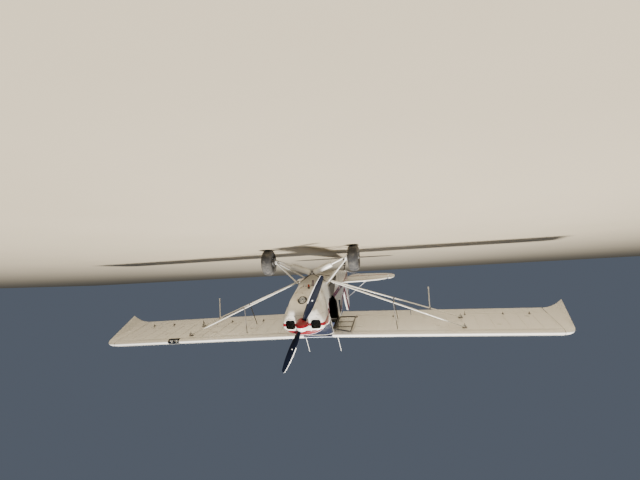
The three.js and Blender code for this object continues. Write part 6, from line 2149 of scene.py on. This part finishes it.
def engine():
    case = joined(block((-0.13, -1.08, 0.90), (0.13, -0.44, 1.13), 0.02),
                  block((-0.12, -0.98, 0.79), (0.12, -0.5, 0.91), 0.02),
                  rod((0, -1.105, THRUST_Z), (0, -1.08, THRUST_Z), 0.06, 40, lip=0.003),
                  rod((0, -1.09, THRUST_Z), (0, -1.02, THRUST_Z), 0.09, 32, lip=0.006),
                  block((-0.1, -0.5, 0.95), (0.1, -0.42, 1.2), 0.012))
    cylinders = []
    for s in (1, -1):
        for y in (-0.93 + 0.02 * s, -0.69 + 0.02 * s):
            cylinders.append(finned_cylinder((s * 0.1, y, 1.03), (s, 0, 0), 0.07, 0.225, 11))
            cylinders.append(block((s * 0.205 + min(0, s * 0.1), y - 0.085, 0.955),
                                   (s * 0.205 + max(0, s * 0.1), y + 0.085, 1.115), 0.012))
            for by in (-0.05, 0.05):
                cylinders.append(rod((s * 0.28, y + by, 0.93), (s * 0.14, y + by, 0.86), 0.014, 10))
    make("engine_case", [(joined(case, *cylinders), ENGINE_METAL)], replaces=["engine"],
         smooth=34)
    baffles = []
    for s in (1, -1):
        rows = rounded([(s * 0.15, 0.92), (s * 0.355, 0.94, 0.03), (s * 0.355, 1.12, 0.03), (s * 0.15, 1.16)])
        baffles.append(slab(rows, 0.002, "y", -1.075))
        baffles.append(block((s * 0.345 + min(0, s * 0.003), -1.07, 0.93),
                             (s * 0.345 + max(0, s * 0.003), -0.55, 1.15)))
    baffles.append(slab([(-0.35, 0.93), (0.35, 0.93), (0.33, 1.18), (0.18, 1.22), (-0.18, 1.22),
                         (-0.33, 1.18)], 0.002, "y", -0.545))
    firewall = slab([(p.x, p.z) for p in hull_ring(NOSE_STATIONS[0], 0.02)], 0.002, "y", -0.3535)
    leads = []
    for s in (1, -1):
        for y in (-0.98, -0.72):
            leads.append(tube(curve_through([(s * 0.05, -0.48, 1.18), (s * 0.12, y + 0.12, 1.19),
                                             (s * 0.24, y, 1.15), (s * 0.27, y - 0.02, 1.1)], 5), 0.0045, 8))
    make("engine_baffles", [(joined(*baffles), PANEL_BLACK_AND_SHADE), (firewall, ENGINE_METAL),
                            (joined(*leads), SEAL_RUBBER)])


def exhaust():
    path = curve_through([(-0.07, -0.46, 0.64), (-0.076, -0.42, 0.54), (-0.082, -0.384, 0.446),
                          (-0.084, -0.322, 0.380)], 6)
    outer = tube(path, 0.0262, 28)
    bore = tube(curve_through([(-0.0815, -0.392, 0.468), (-0.082, -0.384, 0.446), (-0.084, -0.322, 0.380),
                               (-0.0845, -0.307, 0.364)], 5), 0.0238, 24)
    make("exhaust_pipe", [(carved(outer, bore), HEATED_STEEL)], replaces=["exhaust"], smooth=45)
    scoop = tube(curve_through([(0.09, -0.44, 0.5), (0.092, -0.395, 0.46), (0.094, -0.35, 0.432)], 4),
                 0.012, 16)
    make("breather", [(scoop, BRIGHT_METAL)])


# Propeller

# Reach from the hub, chord, thickness and pitch in degrees
BLADE_STATIONS = [
    (0.04, 0.070, 0.056, 60), (0.15, 0.100, 0.038, 48), (0.3, 0.146, 0.026, 38), (0.52, 0.156, 0.018, 27),
    (0.76, 0.138, 0.012, 20), (0.95, 0.100, 0.008, 16), (1.042, 0.068, 0.005, 15), (1.06, 0.032, 0.003, 15),
]


def blade_ring(station, count=30):
    """A blade section: nearly flat behind, bulged in front, thickest towards its leading edge"""
    reach, chord, thick, pitch = station
    pitch = radians(pitch)
    ring = []
    for k in range(count):
        angle = 2 * pi * k / count
        across = cos(angle)
        lean = 1 + 0.25 * across if abs(across) < 0.999 else 1
        deep = sin(angle) * thick / 2 * (lean if reach > 0.2 else 1)
        across *= chord / 2
        ring.append(Vector((deep * sin(pitch) - across * cos(pitch),
                            -across * sin(pitch) - deep * cos(pitch), reach)))
    return ring


def on_shaft(shape, turn=0.0):
    return moved(shape, Matrix.Translation(PROP_AT) @ Matrix.Rotation(PROP_ANGLE + turn, 4, "Y"))


def propeller():
    rows = smooth_stations(BLADE_STATIONS, 7)
    skin = loft([blade_ring(row) for row in rows])
    strip_faces, body_faces = [], []
    points, faces = skin
    count = 30
    for face in faces:
        reach = sum(points[i].z for i in face) / len(face)
        places = {i % count for i in face}
        at_edge = len(face) == 4 and places <= {0, 1, 2, 3}
        (strip_faces if at_edge and reach > 0.46 else body_faces).append(face)
    blades, strips = [], []
    for turn in (0.0, pi):
        blades.append(on_shaft((points, body_faces), turn))
        strips.append(on_shaft((points, strip_faces), turn))
    hub = joined(rod((0, -0.048, 0), (0, 0.048, 0), 0.066, 40, lip=0.004),
                 rod((0, 0.04, 0), (0, 0.178, 0), 0.052, 40, lip=0.003))
    make("propeller_blades", [(joined(*blades, on_shaft(hub)), NAVY_PAINT), (joined(*strips), PALE_STRIP)],
         body="propeller", replaces=["propeller"], smooth=40)
    dots = []
    for turn in (0.0, pi):
        station = station_at(BLADE_STATIONS, 0.535)
        pitch = radians(station[3])
        face_out = Vector((sin(pitch), -cos(pitch), 0))
        at = Vector((0, 0, 0.535)) + face_out * (station[2] / 2)
        disc = aimed(turned([(0, 0.0012), (0.013, 0.0012), (0.0145, 0.0), (0, 0.0)], 20), at, face_out)
        dots.append(on_shaft(disc, turn))
    make("blade_marks", [(joined(*dots), PALE_STRIP)], body="propeller")
    profile = curve_2d([(0.128, 0.008), (0.1265, -0.004), (0.1235, -0.028), (0.116, -0.05), (0.104, -0.078),
                        (0.092, -0.098), (0.076, -0.118), (0.058, -0.134), (0.04, -0.1455),
                        (0.026, -0.1515), (0.012, -0.1552), (0.0, -0.156)])
    shell = turned([(0, 0.040), (0.1275, 0.040), (0.128, 0.036)] + profile, 96)
    room = rod((0, -0.062, 0), (0, 0.06, 0), 0.08, 40)
    slot = [(-0.042, -0.046, 0.03), (0.042, -0.046, 0.03), (0.042, 0.046, 0.03), (-0.042, 0.046, 0.03)]
    slots = [slab(rounded(slot, 8), 0.17, "z", s * 0.115) for s in (1, -1)]
    spinner = carved(shell, room, *slots)
    make("spinner_cone", [(on_shaft(spinner), SPINNER_PAINT_AND_HIGHLIGHT)], body="propeller",
         replaces=["spinner"], smooth=40)
    back = turned([(0.06, 0.0405), (0.129, 0.0405), (0.1295, 0.044), (0.128, 0.046), (0.06, 0.046)], 72,
                  closed=True)
    screws = []
    for k in range(16):
        angle = 2 * pi * (k + 0.5) / 16
        out = Vector((cos(angle), 0, sin(angle)))
        if abs(out.z) > 0.9:
            continue
        screws.append(aimed(turned([(0, 0.0016), (0.0034, 0.0013), (0.0046, 0.0), (0, 0)], 10), out * 0.1278
                            + Vector((0, 0.024, 0)), out))
    make("spinner_backplate", [(on_shaft(back), BRIGHT_METAL), (on_shaft(joined(*screws)), BRIGHT_METAL)],
         body="propeller")


def curve_2d(points, steps=4):
    return [(p.x, p.y) for p in curve_through([(a, b, 0) for a, b in points], steps)]


# Cabin

SEAT_HALF = 0.205
SEAT_TUBE = 0.008
CUSHION_CAP = 0.011
CUSHION_STEPS = 18
FLOOR_TOP_Z = 0.536
FRAME_TUBE = 0.0095
FRAME_BACK_Y = 0.97


def seat(name, y, z, back):
    """A tube frame with a padded squab and a padded back"""
    bottom = [(y + 0.012, z + 0.022, 0.03), (y + 0.37, z + 0.002, 0.02), (y + 0.395, z + 0.095, 0.03),
              (y + 0.02, z + 0.118, 0.04)]
    rest = [(y + 0.392, z + 0.03, 0.02), (y + 0.432, z + 0.02, 0.02), (y + 0.425 + back, z + 0.5, 0.04),
            (y + 0.378 + back, z + 0.5, 0.03), (y + 0.388, z + 0.12, 0.02)]
    for part, outline in (("squab", bottom), ("backrest", rest)):
        form = slab(rounded(outline, 5), 2 * SEAT_HALF - 0.05, "x", 0.0, 0.02)
        points, faces = form
        mesh = bpy.data.meshes.new("form")
        mesh.from_pydata([tuple(TO_WORLD @ p) for p in points], [], faces)
        mesh.materials.append(SEAT_CLOTH)
        pad = in_scene(f"{name}_{part}", mesh)
        swell(pad)
        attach(pad, "airframe")
        if part == "squab":
            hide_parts(name)
    pipes = []
    for s in (1, -1):
        x = s * (SEAT_HALF - SEAT_TUBE)
        side_path = [(x, y + 0.02, z - 0.004), (x, y + 0.41, z - 0.016), (x, y + 0.44, z + 0.03),
                     (x, y + 0.432 + back, z + 0.5)]
        pipes.append(tube(curve_through(side_path, 5), SEAT_TUBE, 12))
        for spot in (y + 0.06, y + 0.38):
            pipes.append(rod((x, spot, z - 0.01), (x, spot, FLOOR_TOP_Z), SEAT_TUBE, 12))
    for aft, down in ((0.04, 0.004), (0.4, 0.012)):
        pipes.append(rod((-SEAT_HALF, y + aft, z - down), (SEAT_HALF, y + aft, z - down), SEAT_TUBE, 12))
    make(f"{name}_tubes", [(joined(*pipes), DARK_ENAMEL_AND_SHADE)], smooth=50)
    belts = []
    for s in (1, -1):
        belts.append(ribbon(curve_through([(s * 0.09, y + 0.42 + back, z + 0.53),
                                           (s * 0.1, y + 0.36 + back, z + 0.515),
                                           (s * 0.1, y + 0.355 + back * 0.6, z + 0.3),
                                           (s * 0.12, y + 0.33, z + 0.17), (s * 0.06, y + 0.2, z + 0.135),
                                           (s * 0.02, y + 0.17, z + 0.137)], 5),
                            0.044, 0.003, (1, 0, 0)))
    buckle = block((-0.028, y + 0.148, z + 0.128), (0.028, y + 0.19, z + 0.144), 0.004)
    make(f"{name}_belts", [(joined(*belts), WEBBING), (buckle, BRIGHT_METAL)])


def swell(pad):
    remesh = pad.modifiers.new("remesh", "REMESH")
    remesh.mode = "VOXEL"
    remesh.voxel_size = 0.008
    mesh = settled(pad)
    rest = [v.co.copy() for v in mesh.vertices]
    pad.data = mesh
    cloth = pad.modifiers.new("cloth", "CLOTH")
    cloth.settings.use_pressure = True
    cloth.settings.uniform_pressure_force = 4
    cloth.settings.effector_weights.gravity = 0
    scene = bpy.context.scene
    for step in range(1, CUSHION_STEPS + 1):
        scene.frame_set(step)
    mesh = settled(pad)
    for v, start in zip(mesh.vertices, rest):
        away = v.co - start
        if away.length > CUSHION_CAP:
            v.co = start + away.normalized() * CUSHION_CAP
    pad.data = mesh
    scene.frame_set(1)
    mesh.shade_smooth()


def cabin():
    seat("seat_front", 0.33, 0.64, 0.07)
    seat("seat_rear", 1.01, 0.66, 0.04)
    outline = rounded([(-0.3, 1.05, 0.03), (0.3, 1.05, 0.03), (0.3, 1.24, 0.06), (0.21, 1.352, 0.06),
                       (-0.21, 1.352, 0.06), (-0.3, 1.24, 0.06)])
    board = slab(outline, 0.014, "y", -0.19, 0.003)
    rings, faces, needles = [], [], []
    for x, z, radius in ((-0.2, 1.2, 0.04), (-0.1, 1.2, 0.04), (0.0, 1.2, 0.04), (0.1, 1.2, 0.04),
                         (0.2, 1.2, 0.04), (-0.15, 1.1, 0.028), (-0.05, 1.1, 0.028), (0.05, 1.1, 0.028),
                         (0.15, 1.1, 0.028)):
        at = Vector((x, -0.183, z))
        rings.append(aimed(turned([(radius, 0.0), (radius, 0.006), (radius * 0.88, 0.008),
                                   (radius * 0.86, 0.002)], 28,
                                  closed=True), at, (0, 1, 0)))
        faces.append(aimed(turned([(0, 0.0015), (radius * 0.87, 0.0015), (radius * 0.87, 0), (0, 0)], 28),
                           at, (0, 1, 0)))
        turn = Vector((sin(x * 31), 0, cos(z * 27 + x * 9)))
        needles.append(rod(at + Vector((0, 0.004, 0)) - turn * radius * 0.15,
                           at + Vector((0, 0.004, 0)) + turn * radius * 0.65, 0.0012, 6))
        for k in range(12):
            angle = 2 * pi * k / 12
            out = Vector((cos(angle), 0, sin(angle)))
            needles.append(rod(at + out * radius * 0.66 + Vector((0, 0.002, 0)),
                               at + out * radius * 0.8 + Vector((0, 0.002, 0)), 0.0009, 5))
    make("panel_board", [(joined(board, *faces), PANEL_BLACK_AND_SHADE), (joined(*rings), DARK_ENAMEL_AND_SHADE),
                         (joined(*needles), PALE_STRIP)],
         replaces=["instrument_panel"])
    glare = []
    for k in range(13):
        angle = pi * k / 12
        glare.append(Vector((0.26 * cos(angle), 0, 1.315 + 0.06 * sin(angle))))
    shield = loft([[p + Vector((0, -0.3, 0)) for p in glare] + [p + Vector((0, -0.3, -0.006))
                                                                for p in reversed(glare)],
                   [p + Vector((0, -0.2, -0.004)) for p in glare] + [p + Vector((0, -0.2, -0.01))
                                                                     for p in reversed(glare)]])
    make("glare_shield", [(shield, PANEL_BLACK_AND_SHADE)])
    whole_cabin = carved(hull(NOSE_STATIONS, WALL + 0.006), hull(BODY_STATIONS[:4], WALL + 0.006),
                         operation="UNION")
    board = carved(block((-0.27, -0.32, FLOOR_TOP_Z - 0.012), (0.27, 0.93, FLOOR_TOP_Z)), whole_cabin,
                   operation="INTERSECT")
    grips = []
    for y in (0.21, 0.93):
        grips.append(rod((0, y, FLOOR_TOP_Z - 0.006), (0, y - 0.04, 0.86), 0.011, 20))
        grips.append(aimed(turned([(0, 0), (0.013, 0), (0.017, 0.006), (0.0155, 0.03), (0.017, 0.055),
                                   (0.0155, 0.08), (0.017, 0.105), (0.014, 0.119), (0, 0.121)], 24),
                           (0, y - 0.04, 0.84), (0, -0.014, 0.12)))
        grips.append(aimed(turned([(0.012, 0), (0.034, 0.0), (0.026, 0.02), (0.016, 0.045), (0.012, 0.05)],
                                  24, closed=True),
                           (0, y, FLOOR_TOP_Z), (0, 0, 1)))
    # The floor board takes the near-black lining, partly as painted shade
    make("cabin_floor_board", [(board, LINING_AND_SHADE), (joined(*grips), DARK_ENAMEL_AND_SHADE)],
         replaces=["cabin_floor"])
    pedals = []
    for y in (-0.14, 0.64):
        for s in (1, -1):
            pedals.append(tube([(s * 0.14, y, FLOOR_TOP_Z + 0.004), (s * 0.14, y - 0.01, FLOOR_TOP_Z + 0.12),
                                (s * 0.10, y - 0.01, FLOOR_TOP_Z + 0.15),
                                (s * 0.18, y - 0.01, FLOOR_TOP_Z + 0.15)], 0.007, 10))
    make("rudder_pedals", [(joined(*pedals), DARK_ENAMEL_AND_SHADE)], smooth=50)
    tubes = []
    for s in (1, -1):
        for low, high, radius in (((0.312, -0.3, 1.3), (0.318, 0.03, 1.6), FRAME_TUBE),
                                  ((0.12, -0.31, 1.33), (0.03, 0.05, 1.64), FRAME_TUBE),
                                  ((0.296, FRAME_BACK_Y, 1.19), (0.272, 1.58, 1.19), FRAME_TUBE),
                                  ((0.266, FRAME_BACK_Y, 0.56), (0.316, FRAME_BACK_Y, 1.58), FRAME_TUBE),
                                  ((0.30, FRAME_BACK_Y, 1.58), (0.27, 1.56, 1.2), 0.008)):
            tubes.append(rod((s * low[0], *low[1:]), (s * high[0], *high[1:]), radius, 12))
    tubes.append(rod((0.315, -0.3, 1.19), (0.296, FRAME_BACK_Y, 1.19), FRAME_TUBE, 12))
    for y, z in ((0.06, 1.636), (FRAME_BACK_Y, 1.655)):
        tubes.append(rod((-0.32, y, z), (0.32, y, z), 0.0125, 16))
    for s in (-1, 1):
        tubes.append(rod((s * 0.3, 0.06, 1.65), (-s * 0.3, FRAME_BACK_Y, 1.665), 0.0085, 12))
    make("cabin_tubes", [(joined(*tubes), DARK_ENAMEL_AND_SHADE)], smooth=50)


def aerials():
    for side, sign in SIDES.items():
        foot = wing_point(0.372, 0.372, section_point(0.372 / CHORD, 1)[1] + 0.001)
        foot = Vector((sign * foot.x, foot.y, foot.z))
        sweep = Vector((-0.045, 0.07, 0.4))
        base = rod(foot, foot + sweep * 0.065, 0.014, 24, end_radius=0.008)
        whip = rod(foot + sweep * 0.05, foot + sweep, 0.007, 14, end_radius=0.005)
        make(f"aerial_{side}", [(joined(base, whip), PLAIN_PAINT)],
             replaces=[f"antenna_{side}"], smooth=45)
        pad = aimed(turned([(0, 0.003), (0.020, 0.003), (0.024, 0.0015), (0.026, 0.0), (0, 0)], 28),
                    foot - Vector((0, 0, 0.0005)), (0, 0, 1))
        make(f"aerial_pad_{side}", [(pad, SEAL_RUBBER)])


engine_bay()
engine()
exhaust()
propeller()
cabin()
aerials()


# Paint on the CAD's own pieces

for obj in frame["nodes"].values():
    for slot in obj.material_slots:
        slot.material = PLAIN_PAINT


# Floor, lights and camera

FLOOR_HALF = 30.0


def stage_floor():
    half = FLOOR_HALF
    mesh = bpy.data.meshes.new("floor")
    mesh.from_pydata([(-half, -half, 0), (half, -half, 0), (half, half, 0), (-half, half, 0)], [],
                     [(0, 1, 2, 3)])
    mesh.materials.append(make_floor_paint())
    in_scene("floor", mesh)


def soft_light(name, at, aim, size, power, colour=(1, 1, 1), size_y=None):
    light = bpy.data.lights.new(name, "AREA")
    light.shape = "RECTANGLE"
    light.size = size
    light.size_y = size_y or size
    light.energy = power
    light.color = colour
    lamp = in_scene(name, light)
    lamp.location = at
    lamp.rotation_euler = (Vector(aim) - Vector(at)).to_track_quat("-Z", "Y").to_euler()


def set_world(colour, strength):
    world = bpy.data.worlds.new("studio")
    world.use_nodes = True
    background = world.node_tree.nodes["Background"]
    background.inputs["Color"].default_value = (*colour, 1)
    background.inputs["Strength"].default_value = strength
    bpy.context.scene.world = world


CAMERA_AT = Vector((-2.097, -11.814, 0.745))
CAMERA_YAW = radians(11.051)
CAMERA_PITCH = radians(-5.227)
CAMERA_ROLL = radians(-2.919)
FOCAL_SHARE = 452.7 / 640
SENSOR = 36.0
VIEW_DEPTH = 200


def set_camera():
    """The photo's own view. The stored photo is upside down, so the camera is too."""
    forward = Vector((sin(CAMERA_YAW) * cos(CAMERA_PITCH), cos(CAMERA_YAW) * cos(CAMERA_PITCH),
                      sin(CAMERA_PITCH)))
    right = Vector((cos(CAMERA_YAW), -sin(CAMERA_YAW), 0))
    up = right.cross(forward)
    across = right * cos(CAMERA_ROLL) + up * sin(CAMERA_ROLL)
    above = up * cos(CAMERA_ROLL) - right * sin(CAMERA_ROLL)
    lens = bpy.data.cameras.new("photo_view")
    lens.sensor_width = SENSOR
    lens.lens = FOCAL_SHARE * SENSOR
    lens.clip_end = VIEW_DEPTH
    camera = in_scene("photo_view", lens)
    turn = Matrix((-across, -above, -forward)).transposed().to_4x4()
    camera.matrix_world = Matrix.Translation(CAMERA_AT) @ turn
    bpy.context.scene.camera = camera


stage_floor()
set_world((0.62, 0.74, 0.95), 0.15)
soft_light("high_key", (-2.6, -9, 15), (0, -0.6, 1.2), 2.4, 9600, (1.0, 0.965, 0.91), 2.4)
soft_light("side_fill", (-9, -9, 4), (0, -1.5, 1.2), 5, 130, (0.82, 0.9, 1.0))
soft_light("back_rim", (2, 12, 8), (0, 1, 1.4), 6, 500, (0.95, 0.97, 1.0))
set_camera()
